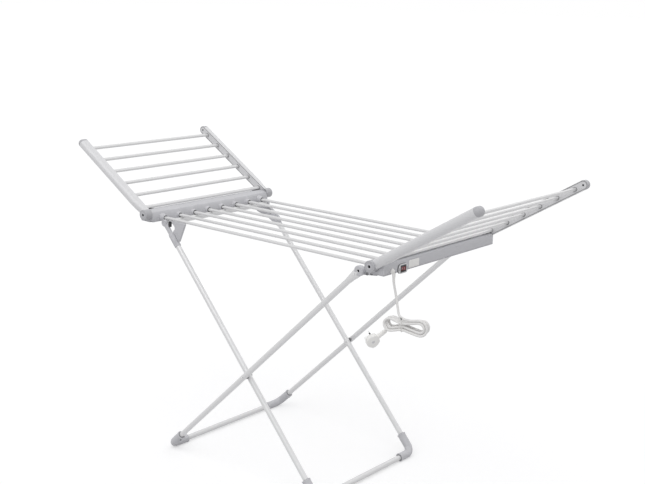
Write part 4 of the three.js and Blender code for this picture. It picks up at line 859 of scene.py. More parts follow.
class AirerWings(bpy.types.Operator):
    """Makes the bars and rails of both wings"""
    bl_idname = "airer.wings"
    bl_label = "Wings"

    def execute(self, context):
        bars, rails = context.scene.airer_bars, context.scene.airer_rails
        across = Matrix.Rotation(math.pi / 2, 4, "Z")
        for end in ENDS:
            body, where = f"{end}_wing", wing_place(end, rails)
            for k in range(bars.wing_count):
                at = Matrix.Translation((bars.wing_first + k * bars.wing_pitch, 0, 0))
                piece = bmesh.new()
                put(piece, oval_tube(rails.inner + bars.wing_seat, bars), where @ at @ across)
                finish_piece(context, f"{body}_rung_{k + 1}", piece, body, f"{body}_bar_{k + 1}",
                             ["wing_bars"])
            for side, sign in SIDES.items():
                plain = (sign > 0) == (end == "right")
                rail_at = where @ (Matrix() if plain else FLIP)
                piece = bmesh.new()
                put(piece, self.rail(rails), rail_at)
                self.foot(context, piece, rails, rail_at)
                self.lips(piece, bars, rails, rail_at)
                finish_piece(context, f"{body}_{side}_moulded_rail", piece, body, f"{body}_{side}_rail",
                             ["rails", "rail_panel", "plastic", "steel", "cap", "dark"], 30)
        return {"FINISHED"}

    def rail(self, rails):
        """A D-section, shallow beside its hinge disc, with a domed tip and a set-in inner panel"""
        part = bmesh.new()
        inner, half, seam = rails.inner, rails.half_width, rails.seam
        flank = inner + rails.depth - half
        top = part.verts.new((0, flank, half))
        bmesh.ops.spin(part, geom=[top], cent=(0, flank, 0), axis=(1, 0, 0), dvec=(0, 0, 0), angle=-math.pi,
                       steps=28, use_merge=False, use_duplicate=False)
        for vert in [v for v in part.verts if len(v.link_edges) == 1]:
            part.edges.new((vert, part.verts.new((0, inner, math.copysign(half, vert.co.z)))))
        edges, last = part.edges[:], rails.start_share
        for vert in part.verts:
            vert.co.y = inner + (vert.co.y - inner) * last
        depth_shares = ((0.0135, last), (0.021, 0.80), (0.031, 0.87), (0.043, 0.94), (0.055, 0.985),
                        (0.066, 1), (seam, 1), (rails.length, 1))
        for x, share in depth_shares:
            made = bmesh.ops.extrude_edge_only(part, edges=edges)["geom"]
            for vert in verts_in(made):
                vert.co.x, vert.co.y = x, inner + (vert.co.y - inner) * share / last
            last = share
            edges = [e for e in edges_in(made) if len(e.link_faces) == 1
                     and all(abs(v.co.x - x) < 1e-6 for v in e.verts)]
        quarter = [e for e in edges if all(v.co.z > -1e-7 for v in e.verts)]
        bmesh.ops.spin(part, geom=quarter + list({v for e in quarter for v in e.verts}),
                       cent=(rails.length, inner, 0), axis=(0, 1, 0), dvec=(0, 0, 0), angle=math.pi, steps=24,
                       use_merge=False, use_duplicate=False)
        bmesh.ops.remove_doubles(part, verts=part.verts, dist=2e-5)
        start = [e for e in part.edges if len(e.link_faces) == 1 and all(abs(v.co.x) < 1e-7 for v in e.verts)]
        ends = [v for v in {v for e in start for v in e.verts} if abs(v.co.y - inner) < 1e-6]
        start.append(part.edges.new(ends))
        bmesh.ops.contextual_create(part, geom=start)
        rim = [e for e in part.edges if len(e.link_faces) == 1]
        panel = bmesh.ops.contextual_create(part, geom=rim)["faces"]
        bmesh.ops.recalc_face_normals(part, faces=part.faces)
        panel_steps = ((0.0013, 0, 0), (0.0006, 0.0005, 1), (0.0008, 0, 1), (0.0006, -0.0004, 1))
        for thickness, sink, dark in panel_steps:
            made = bmesh.ops.inset_region(part, faces=panel, thickness=thickness, depth=0,
                                          use_even_offset=True)
            for face in made["faces"]:
                face.material_index = dark
            for vert in {v for f in panel for v in f.verts}:
                vert.co.y += sink
        for face in part.faces:
            if face.material_index == 0 and face.calc_center_median().x > seam + 0.0002:
                face.material_index = 4
        return part

    def foot(self, context, piece, rails, where):
        """The hinge disc with the well of its screw, a raised ring round the well and a thin dark sheet in it,
        which paints the shade in the well
        """
        well = context.scene.airer_screws.head + 0.0003
        radius, soft, deep = rails.foot_radius, rails.foot_round, rails.depth - 0.0004
        floor, chamfer, level = deep - rails.recess, deep - 0.0007, deep - 0.0004
        rim = round_points((radius - soft, deep - soft), soft, 9, 0, math.pi / 2)
        disc = [(0, 0), (radius - 0.0006, 0), (radius, 0.0006), *rim, (well + 0.0012, deep),
                (well + 0.0008, level), (well + 0.0003, level), (well, chamfer), (well, floor), (0, floor)]
        where = where @ Matrix.Translation((0, rails.inner, 0))
        put(piece, turned(disc, 48), where @ outward(1), 4)
        ring = [(-0.0008, 0.0016), (0.0002, 0.0016), (0.0004, 0.0021), (0.0004, 0.0040), (0.0002, 0.0045),
                (-0.0008, 0.0045), (-0.0008, 0.0016)]
        outer, inner, low, high = 0.00005, 0.00025, rails.recess - 0.0001, 0.0009
        well_shade_sheet = [(-low, -outer), (-high, -outer), (-high, -inner), (-low, -inner), (-low, -outer)]
        for steps, material in ((ring, 2), (well_shade_sheet, 5)):
            sized = [(along, well + grow) for along, grow in steps]
            put(piece, carried(rings((0, deep, 0), (0, 1, 0), sized), 40, closed=True), where, material)

    def lips(self, piece, bars, rails, where):
        """A lip round each bar where it enters the rail, and the screw in the middle of the tip"""
        lip = ((0.0006, 0.0019), (-0.0003, 0.0017), (-0.0010, 0.0011), (-0.0019, 0.0007), (-0.0022, 0.0003),
               (0.0006, 0.0003), (0.0006, 0.0019))
        sized = [(along, bars.width / 2 + grow, bars.thickness / 2 + grow) for along, grow in lip]
        for k in range(bars.wing_count):
            at = (bars.wing_first + k * bars.wing_pitch, rails.inner, 0)
            put(piece, carried(rings(at, (0, 1, 0), sized), 32, closed=True), where, 1)
        screw = [(0, 0.0006), (0.0026, 0.0006), (0.0026, -0.0004), (0.0022, -0.0008), (0.0009, -0.0009),
                 (0.0009, -0.0002), (0, -0.0002)]
        tip = Matrix.Translation((rails.length, rails.inner, 0))
        put(piece, turned(screw, 20), where @ tip @ outward(1), 3)


class AirerHousings(bpy.types.Operator):
    """Makes the end housings: scalloped shells with a collar for each bar and a seat under each wing rail"""
    bl_idname = "airer.housings"
    bl_label = "Housings"

    def execute(self, context):
        sizes, bars = context.scene.airer_housings, context.scene.airer_bars
        lines, height = rack_bar_lines(context), middle("rack_bar_1").z
        for end, where in ENDS.items():
            piece = bmesh.new()
            put(piece, self.shell(sizes, lines), where)
            for y in lines:
                mouth = (sizes.collar_end, y, height)
                put(piece, self.collar(bars, sizes, mouth), where)
                put(piece, self.mouth_shadow_ring(bars, mouth), where, 2)
            for sign in SIDES.values():
                put(piece, self.seat(context, sizes, sign), where)
                self.shadow_gap(piece, sizes, sign, where, end == "left" or sign > 0)
            if end == "right":
                self.bare_plate(context, piece, sizes)
            finish_piece(context, f"{end}_shell", piece, "rack", f"{end}_housing",
                         ["plastic", "plate", "dark", "plastic_shade"], 28)
        return {"FINISHED"}

    def shell(self, sizes, lines):
        """The moulding's section carried along the rack, its inner side drawn to the plan"""
        part = bmesh.new()
        inner, outer, edge, shoulder = sizes.inner, sizes.outer, sizes.crown_edge, sizes.shoulder
        brow = inner + 0.0085
        section = [(inner, sizes.bottom), (inner, sizes.bottom + 0.003),
                   (inner + 0.0009, sizes.brow - 0.0045), (inner + 0.0023, sizes.brow + 0.001),
                   (inner + 0.0041, edge - 0.0068), (inner + 0.0062, edge - 0.003), (brow, edge)]
        for k in range(1, 8):
            section.append((pulled(brow, (brow + outer) / 2, outer, k / 8),
                            pulled(edge, sizes.crown_pull, shoulder, k / 8)))
        section += [(outer - 0.0046, shoulder + 0.0008), (outer - 0.0027, shoulder),
                    (outer - 0.0012, shoulder - 0.0013), (outer - 0.0003, shoulder - 0.003),
                    (outer, shoulder - 0.005), (outer, sizes.bottom)]
        line = [part.verts.new((x, -sizes.half_length, z)) for x, z in section]
        edges = [part.edges.new(pair) for pair in zip(line, line[1:] + line[:1])]
        bmesh.ops.contextual_create(part, geom=edges)
        steps = 332
        for _ in range(steps):
            made = bmesh.ops.extrude_edge_only(part, edges=edges)["geom"]
            fresh = set(verts_in(made))
            bmesh.ops.translate(part, vec=(0, 2 * sizes.half_length / steps, 0), verts=list(fresh))
            edges = [e for e in edges_in(made) if fresh.issuperset(e.verts)]
        bmesh.ops.contextual_create(part, geom=edges)
        reach = {}
        for vert in part.verts:
            y = round(vert.co.y, 5)
            if y not in reach:
                reach[y] = self.plan(sizes, lines, vert.co.y)
            vert.co.x += (reach[y] - inner) * (outer - vert.co.x) / (outer - inner)
        bmesh.ops.dissolve_degenerate(part, dist=2e-6, edges=part.edges)
        bmesh.ops.recalc_face_normals(part, faces=part.faces)
        lip = [e for e in part.edges if len(e.link_faces) == 2 and e.calc_face_angle(0) > 0.9
               and (min(v.co.x for v in e.verts) > sizes.setback + 0.02
                    or all(abs(abs(v.co.y) - sizes.half_length) < 1e-6 for v in e.verts))]
        bevel(part, lip, 0.0009, 3, clamp=True)
        return part

    def plan(self, sizes, lines, y):
        """How far in the moulding reaches at y: a shallow scallop between each two collars"""
        for k, (low, high) in enumerate(zip(lines, lines[1:])):
            if low <= y <= high:
                ends = [sizes.setback if i in (0, len(lines) - 1) else sizes.inner for i in (k, k + 1)]
                pull = 2 * sizes.valley - sum(ends) / 2
                return min(pulled(ends[0], pull, ends[1], (y - low) / (high - low)), sizes.setback)
        return sizes.setback

    def collar(self, bars, sizes, mouth):
        """A flared collar with an oval mouth"""
        wide, tall = bars.width / 2 + sizes.gap, bars.thickness / 2 + sizes.gap
        radius, deep = sizes.collar_radius, sizes.collar_depth - sizes.collar_end
        steps = [(deep, wide, tall), (0.0005, wide, tall), (0, wide + 0.0005, tall + 0.0005),
                 (0, radius - 0.0009), (0.0003, radius - 0.0003), (0.0009, radius), (0.003, radius),
                 (0.0042, radius + 0.0003), (0.0062, radius + 0.0011), (0.0095, radius + 0.0024),
                 (deep, sizes.collar_root), (deep, wide, tall)]
        part = carried(rings(mouth, (1, 0, 0), steps, sense=-1), 40, closed=True)
        for vert in part.verts:
            vert.co.z = max(vert.co.z, sizes.bottom)
        return part

    def mouth_shadow_ring(self, bars, mouth):
        """A thin dark ring in the mouth of a collar: painted shade where the bar enters"""
        wide, tall = bars.width / 2 + 0.0001, bars.thickness / 2 + 0.0001
        grown = ((0.001, 0, 0), (-0.0003, 0, 0), (-0.0005, 0.0003, 0.0003), (-0.0005, 0.0009, 0.0016),
                 (-0.0002, 0.0013, 0.0024), (0.001, 0.0013, 0.0024), (0.001, 0, 0))
        steps = [(along, wide + a, tall + b) for along, a, b in grown]
        return carried(rings(mouth, (1, 0, 0), steps, sense=-1), 32, closed=True)

    def seat(self, context, sizes, sign):
        """A block beside the moulding, hollowed to the underside of the wing rail"""
        rails = context.scene.airer_rails
        hinge = hinge_of("right")
        radius = rails.foot_radius + 0.0005
        along = Vector((math.cos(rails.tilt), math.sin(rails.tilt)))
        under = Vector((along.y, -along.x)) * (rails.half_width + sizes.gap)
        line = Vector((hinge.x, hinge.z)) + under
        top = line + along * ((sizes.outer - line.x) / along.x)
        join = line + along * math.sqrt(radius ** 2 - under.length ** 2)
        start = math.atan2(join.y - hinge.z, join.x - hinge.x)
        behind = hinge.x - sizes.seat_inner
        end = math.atan2(-math.sqrt(radius ** 2 - behind ** 2), -behind)
        arc = round_points((hinge.x, hinge.z), radius, 14, start, end - start)
        outline = [(sizes.seat_inner, sizes.bottom), (sizes.outer, sizes.bottom), tuple(top), *arc]
        low, high = sorted((-sign * (sizes.half_length - 0.0009), -sign * sizes.seat_end))
        part = slab(outline, low, high, 0.0004)
        bmesh.ops.transform(part, matrix=UPRIGHT, verts=part.verts)
        return part

    def shadow_gap(self, piece, sizes, sign, where, open_end):
        """Half of the painted shadow along the top: a dark line, which widens to a dark wedge where it meets
        the wing rail
        """
        low, high, end = sizes.shoulder - 0.0006, sizes.shoulder + 0.0017, sizes.half_length - 0.0005
        reach = end if open_end else 0.222
        outlines = [([(0, low), (reach, low), (reach, high - 0.0003), (0, high - 0.0003)], 3)]
        if open_end:
            outlines.append(([(0.186, low), (end, low), (end, high + 0.0036), (0.232, high + 0.0024)], 2))
        for outline, material in outlines:
            mirrored = [(sign * y, height) for y, height in outline]
            part = slab(mirrored, sizes.outer - 0.0094, sizes.outer - 0.0078)
            put(piece, part, where @ ALONG_X, material)

    def bare_plate(self, context, piece, sizes):
        """A thin plate with nothing on it beside the switch"""
        low, high, down, up = context.scene.airer_supply.plate
        plate = rectangle((high - low) / 2, (up - down) / 2, ((low + high) / 2, (down + up) / 2))
        put(piece, slab(plate, sizes.outer - 0.0004, sizes.outer + 0.0004, 0.0002, 0.0018), ALONG_X, 1)


class AirerBaseCovers(bpy.types.Operator):
    """Makes the base covers, the right one with the lugs that carry the outer legs"""
    bl_idname = "airer.base_covers"
    bl_label = "Base covers"

    def execute(self, context):
        sizes, legs, lines = context.scene.airer_housings, context.scene.airer_legs, rack_bar_lines(context)
        top, bottom = sizes.bottom - sizes.gap, sizes.bottom - sizes.gap - sizes.cover
        half, seat, back, beside = sizes.half_length, sizes.seat_end, sizes.setback, sizes.seat_inner
        outline = [(back, -half), (beside, -half), (beside, -seat), (sizes.outer, -seat), (sizes.outer, seat),
                   (beside, seat), (beside, half), (back, half), (back, lines[-2]), (sizes.valley, lines[-2]),
                   (sizes.valley, lines[1]), (back, lines[1])]
        x, rib_pitch = 0.437, 0.06
        head = [(0, -0.0001), (0.0034, -0.0001), (0.0034, -0.0007), (0.0028, -0.0012), (0.0013, -0.0013),
                (0.0013, -0.0004), (0, -0.0004)]
        for end, where in ENDS.items():
            piece = bmesh.new()
            put(piece, slab(outline, bottom, top, 0.0005), where)
            for k in range(-3, 4):
                rib = rectangle(0.013, 0.0012, (x, k * rib_pitch))
                put(piece, slab(rib, bottom - 0.0006, bottom + 0.0004, 0.0003), where)
            for y in (-0.19, 0, 0.06, 0.19):
                put(piece, turned(head, 20), where @ Matrix.Translation((x, y, bottom)), 1)
            if end == "right":
                for sign in SIDES.values():
                    self.lug(piece, sizes, legs, sign, top)
            finish_piece(context, f"{end}_base", piece, "rack", f"{end}_base_cover",
                         ["plastic", "steel", "plastic_shade"])
        return {"FINISHED"}

    def lug(self, piece, sizes, legs, sign, top):
        """An eye and its web beside the outer leg's knuckle, with the heads of two screws"""
        x, z = legs.outer_pivot
        radius, inner, outer = 0.012, 0.232, legs.knuckle_inner - sizes.gap
        arc = round_points((x, z), radius, 22, math.radians(68), math.radians(204))
        web = sizes.setback + radius
        outline = [*arc, (web, z - radius / 2), (web, top), (sizes.setback, top)]
        low, high = sorted((-sign * inner, -sign * outer))
        put(piece, slab(outline, low, high, 0.0008), UPRIGHT)
        head = [(0, -0.0005), (0.004, -0.0005), (0.004, 0.0016), (0.0034, 0.0026), (0.0024, 0.003),
                (0.0014, 0.003), (0.0014, 0.0016), (0, 0.0016)]
        # The screw heads take the darker plastic copy: painted shade under the hinge disc
        for cx, cz in ((0.3948, 0.695), (0.409, 0.698)):
            put(piece, turned(head, 24), Matrix.Translation((cx, sign * outer, cz)) @ outward(sign), 2)


class AirerScrews(bpy.types.Operator):
    """Makes the hinge screws and the leg pivot screws, with their drive sockets"""
    bl_idname = "airer.screws"
    bl_label = "Screws"

    def execute(self, context):
        sizes = context.scene.airer_screws
        head, shank, deep, socket = sizes.head, sizes.shank, sizes.head_height, sizes.socket
        for kind in ("right_{}_hinge_screw", "left_{}_hinge_screw", "{}_leg_pivot_screw"):
            for side, sign in SIDES.items():
                node = kind.format(side)
                low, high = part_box(node)
                long, at = high[1] - low[1], middle(node)
                at.y = high[1] if sign > 0 else low[1]
                profile = [(0, -long), (shank - 0.0005, -long), (shank, -long + 0.0005), (shank, -deep),
                           (head, -deep), (head, -deep * 0.4), (head * 0.94, -deep * 0.15), (head * 0.8, 0),
                           (head * 0.62, 0), (head * 0.56, -0.0004), (socket + 0.0002, -0.0004),
                           (socket, -0.0007), (socket, -0.0026), (0, -0.003)]
                piece = bmesh.new()
                put(piece, turned(profile, 36), Matrix.Translation(at) @ outward(sign))
                finish_piece(context, f"{node}_turned", piece, "rack", node, ["steel"])
        return {"FINISHED"}


class AirerLegs(bpy.types.Operator):
    """Makes the leg tubes, the foot tubes, the lift rod and the pivots where the legs cross"""
    bl_idname = "airer.legs"
    bl_label = "Legs"

    def execute(self, context):
        legs = context.scene.airer_legs
        start = legs.elbow_bend + 0.0023
        tops = {"outer_frame": -legs.knuckle_radius - CLEARANCE, "inner_frame": legs.socket_length - 0.0033}
        for name, beyond in tops.items():
            for side, sign in SIDES.items():
                foot, top, way = leg_line(legs, name, sign)
                self.tube(context, foot + way * start, top + way * beyond, f"{name}_{side}_tube", name,
                          f"{name}_{side}_leg", "legs")
            near, far = (leg_line(legs, name, sign)[0] - Vector((0, sign * start, 0)) for sign in (-1, 1))
            self.tube(context, near, far, f"{name}_cross_tube", name, f"{name}_foot_tube", "wing_bars")
        low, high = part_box("lift_rod")
        x, z = legs.rod
        self.tube(context, (x, low[1], z), (x, high[1], z), "lift_rod_tube", "inner_frame", "lift_rod",
                  "wing_bars")
        for side, sign in SIDES.items():
            self.crossing(context, legs, side, sign)
        return {"FINISHED"}

    def tube(self, context, start, end, name, body, node, finish):
        piece = bmesh.new()
        put(piece, pipe(start, end, context.scene.airer_legs))
        finish_piece(context, name, piece, body, node, [finish])

    def crossing(self, context, legs, side, sign):
        """A rivet through both legs, with a head on each side and a spacer between the tubes"""
        at = middle(f"{side}_crossing_pivot")
        at.y = 0
        where = Matrix.Translation(at) @ outward(sign)
        reach, shank = legs.radius + CLEARANCE, context.scene.airer_screws.shank
        inner_head, outer_head = legs.inner_plane - reach, legs.outer_plane + reach
        low, high = legs.inner_plane + reach, legs.outer_plane - reach
        dome = [(0.0055, 0), (0.0055, 0.0006), (0.0049, 0.0016), (0.0036, 0.0023), (0.0018, 0.0026),
                (0, 0.0026)]
        rivet = [*((r, inner_head - step) for r, step in dome[::-1]), (shank, inner_head), (shank, outer_head),
                 *((r, outer_head + step) for r, step in dome)]
        bore, wall, rim = shank + 0.0001, 0.007, 0.0064
        spacer = [(bore, low), (rim, low), (wall, low + 0.0005), (wall, high - 0.0005), (rim, high),
                  (bore, high), (bore, low)]
        piece = bmesh.new()
        put(piece, turned(rivet, 28), where)
        # The spacer takes the darker plastic copy: painted shade between the crossed tubes
        put(piece, turned(spacer, 28), where, 1)
        finish_piece(context, f"{side}_crossing_rivet", piece, "outer_frame", f"{side}_crossing_pivot",
                     ["legs", "plastic_shade"])


class AirerElbows(bpy.types.Operator):
    """Makes the elbow feet: a bend between two end rings, cut flat where it stands"""
    bl_idname = "airer.elbows"
    bl_label = "Elbow feet"

    def execute(self, context):
        legs = context.scene.airer_legs
        reach, bend = legs.elbow_reach, legs.elbow_bend
        for name in ("outer_frame", "inner_frame"):
            for side, sign in SIDES.items():
                corner, _, way = leg_line(legs, name, sign)
                inward = Vector((0, -sign, 0))
                upward = way.cross(inward)
                centre = corner + (way + inward) * bend
                stations = rings(corner + way * reach, -way, self.mouth(legs), upward)
                for k in range(17):
                    along, beside = math.sin(math.pi / 2 * k / 16), math.cos(math.pi / 2 * k / 16)
                    stations.append(station(centre - (inward * beside + way * along) * bend,
                                            inward * along - way * beside, legs.elbow_radius,
                                            legs.elbow_radius, upward))
                stations += rings(corner + inward * reach, -inward, self.mouth(legs), upward, -1)[::-1]
                part = carried(stations, 36)
                for vert in part.verts:
                    vert.co.z = max(vert.co.z, 0.0)
                piece = bmesh.new()
                put(piece, part)
                self.studs(piece, legs, corner, way, inward, upward)
                finish_piece(context, f"{name}_{side}_boot", piece, name, f"{name}_{side}_elbow_foot",
                             ["plastic", "plastic_shade", "steel"], 36)
        return {"FINISHED"}

    def mouth(self, legs):
        """Steps from the bottom of a mouth's hole round its ring to the start of the arm"""
        hole, ring, long, arm = legs.radius + CLEARANCE, legs.ring_radius, legs.ring_length, legs.elbow_radius
        return ((legs.elbow_reach - legs.elbow_bend - 0.002, hole), (0.0006, hole), (0, hole + 0.0006),
                (0, ring - 0.0010), (0.0003, ring - 0.0003), (0.0010, ring), (long - 0.0022, ring - 0.0001),
                (long - 0.0010, ring - 0.0005), (long, arm), (long + 0.006, arm))

    def studs(self, piece, legs, corner, way, inward, upward):
        """A thin dark ring in each mouth, painted shade where the tube enters, and the small screw that holds
        the leg
        """
        bore = legs.radius + 0.0001
        mouth_shadow_ring = ((-0.003, bore), (0.0007, bore), (0.0011, bore + 0.0006), (0.0009, bore + 0.0016),
                (-0.0002, bore + 0.002), (-0.003, bore + 0.0012), (-0.003, bore))
        for axis in (way, inward):
            rows = rings(corner + axis * (legs.elbow_reach - 0.0002), axis, mouth_shadow_ring, upward)
            put(piece, carried(rows, 36, closed=True), None, 1)
        under, tilt = upward if upward.z < 0 else -upward, math.radians(72)
        out = under * math.sin(tilt) - inward * math.cos(tilt)
        screw = ((-0.001, 0.003), (0.0008, 0.003), (0.0013, 0.0024), (0.0013, 0.0011), (0.0006, 0.001))
        at = corner + way * 0.051 + out * (legs.elbow_radius - 0.0006)
        put(piece, carried(rings(at, out, screw, way), 20), None, 2)


class AirerKnuckles(bpy.types.Operator):
    """Makes the knuckles at the tops of the outer legs"""
    bl_idname = "airer.knuckles"
    bl_label = "Knuckles"

    def execute(self, context):
        legs = context.scene.airer_legs
        thick, inner = legs.knuckle_outer - legs.knuckle_inner, legs.knuckle_inner
        well, hole = context.scene.airer_screws.head + 0.0003, legs.radius + CLEARANCE
        floor, level = thick - 0.004, thick - 0.0003
        eye = [(0, 0), *rounded_rim(legs.knuckle_radius, 0, thick, 0.0022, 4), (well + 0.0011, thick),
               (well + 0.0008, level), (well + 0.0002, level), (well, thick - 0.0006), (well, floor),
               (0, floor)]
        sleeve = ((0.036, hole, hole, 0), (0.0458, hole, hole, 0), (0.046, hole + 0.0001, hole + 0.0001, 0),
                  (0.046, 0.0085, 0.0085, 0), (0.0457, 0.0087, 0.0087, 0), (0.044, 0.0089, 0.0089, 0),
                  (0.036, 0.0094, 0.0092, 0), (0.028, 0.0102, 0.0090, 0), (0.021, 0.0112, 0.0084, -0.0006),
                  (0.015, 0.0121, 0.0072, -0.0014), (0.009, 0.0128, 0.0064, -0.0017),
                  (0.002, 0.012, 0.006, -0.0017))
        for side, sign in SIDES.items():
            _, top, way = leg_line(legs, "outer_frame", sign)
            piece = bmesh.new()
            put(piece, turned(eye, 48), Matrix.Translation((top.x, sign * inner, top.z)) @ outward(sign))
            rows = [station(top - way * back + Vector((0, sign * shift, 0)), way, wide, tall, (0, 1, 0))
                    for back, wide, tall, shift in sleeve]
            part = carried(rows, 36)
            for vert in part.verts:
                vert.co.y = sign * max(abs(vert.co.y), inner)
            put(piece, part, None, 1)
            finish_piece(context, f"{side}_eye_and_sleeve", piece, "outer_frame", f"{side}_top_knuckle",
                         ["plastic", "legs"], 36)
        return {"FINISHED"}


class AirerBrackets(bpy.types.Operator):
    """Makes the top brackets of the inner legs: lobe, slotted web, beam and socket"""
    bl_idname = "airer.brackets"
    bl_label = "Brackets"

    def execute(self, context):
        legs = context.scene.airer_legs
        inner, thick, lobe_radius = legs.bracket_inner, legs.bracket_thickness, legs.lobe
        rod = middle("lift_rod")
        lobe = Vector((legs.rod[0], rod.z))
        rim, dish = thick + 0.0022, thick + 0.0012
        boss = [(0, 0), *rounded_rim(lobe_radius + 0.0006, 0, rim, 0.0014, 4), (0.0072, rim), (0.0064, dish),
                (0.0022, dish), (0, dish)]
        for side, sign in SIDES.items():
            _, top, way = leg_line(legs, "inner_frame", sign)
            along = Vector((way.x, way.z))
            piece = bmesh.new()
            low, high = sorted((-sign * inner, -sign * (inner + thick)))
            outline, rounds, holes = self.web(legs, sign, Vector((top.x, top.z)), lobe, along)
            put(piece, slab(outline, low, high, 0.001, rounds, holes), UPRIGHT)
            put(piece, turned(boss, 40), Matrix.Translation((lobe.x, sign * inner, lobe.y)) @ outward(sign))
            self.beam(piece, legs, sign, Vector((top.x, top.z)), lobe, along)
            self.socket(piece, legs, top, way)
            # A dark block in the upper corner of the near slot: painted shadow under the near bar's collar
            if sign < 0:
                slot_shadow_block = box((-0.3730, -high + 0.0004, 0.6925), (-0.3640, -low - 0.0004, 0.7085), 0.0012, 3)
                put(piece, slot_shadow_block, None, 1)
            finish_piece(context, f"{side}_bracket", piece, "inner_frame", f"{side}_top_bracket",
                         ["plastic", "dark"], 34)
        return {"FINISHED"}

    def web(self, legs, sign, apex, lobe, along):
        """Outline, corner radii and holes of a plate: the near one slotted, the far one without a hole"""
        across = Vector((-along.y, along.x)) * legs.lobe
        reach = (lobe - apex).normalized()
        beside = Vector((-reach.y, reach.x)) * legs.lobe
        base = apex + along * 0.002
        start, end = tuple(base + across), tuple(base - across)
        turn_in = [tuple(lobe + beside),
                   *round_points(lobe, legs.lobe, 10, math.atan2(beside.y, beside.x), -math.radians(65))[1:]]
        if sign < 0:
            outline = [start, *turn_in, (lobe.x + 0.004, lobe.y + legs.lobe),
                       (legs.bracket_corner, legs.bracket_top), end]
            return outline, [0] * (len(outline) - 3) + [0.012, 0.006, 0.004], [self.slot(0.0085)]
        heel = [tuple(apex + Vector(step)) for step in ((-0.046, 0.014), (-0.098, 0.029), (-0.104, 0.036))]
        shoulder = [tuple(apex + Vector(step)) for step in ((-0.031, 0.046), (-0.002, 0.028), (0.010, 0.012))]
        rounds = [0, 0.008, 0.004, 0.004] + [0] * len(turn_in) + [0.006, 0.006, 0.004, 0]
        return [start, *heel, *turn_in, *shoulder, end], rounds, []

    def slot(self, radius):
        """A slot with round ends in the near web"""
        one, other = (-0.364, 0.703), (-0.353, 0.692)
        angle = math.atan2(other[1] - one[1], other[0] - one[0])
        return round_points(one, radius, 12, angle + math.pi / 2, math.pi) \
            + round_points(other, radius, 12, angle - math.pi / 2, math.pi)

    def beam(self, piece, legs, sign, apex, lobe, along):
        """The rib that carries the leg's line up to the lobe"""
        start = apex - along * 0.004
        way, thick_root, thick_tip = (lobe - start).normalized(), 0.0098, 0.0046
        tip_plane = legs.bracket_inner + legs.bracket_thickness / 2
        rows = []
        for k in range(13):
            share = k / 12
            spot = start.lerp(lobe, share)
            ahead = way.lerp(along, 1 - share) if share < 0.5 else way
            plane = legs.inner_plane * (1 - share) + tip_plane * share
            wide = thick_root * (1 - 0.25 * math.sin(math.pi * share))
            thick = thick_root * (1 - share) + thick_tip * share
            at = (spot.x, sign * plane, spot.y)
            rows.append(station(at, (ahead.x, 0, ahead.y), wide, thick, (0, 1, 0)))
        part = carried(rows, 32)
        for vert in part.verts:
            vert.co.y = sign * max(abs(vert.co.y), legs.bracket_inner if vert.co.z > 0.66 else 0)
        put(piece, part)

    def socket(self, piece, legs, top, way):
        """The sleeve that takes the leg, with a rolled mouth and a narrowed root"""
        hole, radius = legs.radius + CLEARANCE, legs.lobe
        steps = ((0.006, hole), (0.0005, hole), (0, hole + 0.0004), (0, radius - 0.0007),
                 (0.0003, radius - 0.0001), (0.001, radius), (0.003, radius), (0.0036, radius - 0.0004),
                 (0.0042, radius), (0.02, radius), (0.035, radius), (0.040, 0.0092, 0.0088),
                 (0.0440, 0.0072, 0.0066))
        put(piece, carried(rings(top, way, steps, (0, 1, 0)), 36))


class AirerSwitch(bpy.types.Operator):
    """Makes the switch: bezel, dark body and the red rocker"""
    bl_idname = "airer.switch"
    bl_label = "Switch"

    def execute(self, context):
        sizes, face = context.scene.airer_supply, context.scene.airer_housings.outer
        half, tall, thick = sizes.bezel
        long, high = sizes.rocker
        where = Matrix.Translation((face, *sizes.switch)) @ ALONG_X
        piece = bmesh.new()
        well = rectangle(long + 0.0036, high + 0.0042)
        put(piece, slab(rectangle(half, tall), 0.0003, thick, 0.0008, 0.009, [well], segments=4), where)
        # A dark copy of the bezel's outline, shifted 1.5 mm along the face and 0.4 mm up, under the bezel:
        # painted shadow beside the bezel's left end
        bezel_left_shadow = slab(rectangle(half, tall, (-0.0015, 0.0004)), -0.0004, 0.0012, 0.0002, 0.009)
        collar = slab(well, -0.0004, thick + 0.0007, 0.0003, 0, [rectangle(long + 0.0012, high + 0.0004)])
        floor = slab(well, -0.0005, 0.0007, 0, 0, [rectangle(long + 0.0003, high + 0.0002)])
        body = box((-0.0135, -0.0072, -0.0145), (0.0135, 0.0072, -0.0088), 0.0004)
        grooves = [slab(rectangle(0.0008, 0.0035, (y, 0)), thick - 0.0008, thick + 0.0002, 0.0001, 0.0006)
                   for y in (-0.0158, 0.0158)]
        for part in (bezel_left_shadow, collar, floor, body, *grooves):
            put(piece, part, where, 1)
        finish_piece(context, "switch_frame", piece, "rack", "switch_bezel", ["bezel", "dark"])
        self.rocker(context, sizes, face, long, high)
        return {"FINISHED"}

    def rocker(self, context, sizes, face, long, high):
        """A dished rocker with a raised line at its on end and a raised ring at its off end"""
        curve = [(0.005 * (0.62 + 0.38 * (k / 8) ** 2), long * k / 8) for k in range(-8, 9)]
        outline = [(-0.004, -long / 3), *curve, (-0.004, long / 3)]
        where = Matrix.Translation((face - 0.0015, *sizes.switch))
        where = where @ Matrix.Rotation(-sizes.rocker_tilt, 4, "Z")
        piece = bmesh.new()
        put(piece, slab(outline, -high, high, 0.0005), where)
        put(piece, box((0.0035, 0.0044, -0.0028), (0.0043, 0.0050, 0.0028), 0.0001), where, 1)
        ring = ((0.0036, 0.0018), (0.00445, 0.0018), (0.00445, 0.0013), (0.0036, 0.0013), (0.0036, 0.0018))
        put(piece, carried(rings((0, -0.0055, 0), (1, 0, 0), ring), 20, closed=True), where, 1)
        finish_piece(context, "rocker_red", piece, "switch_rocker", "switch_rocker", ["red", "bezel"])


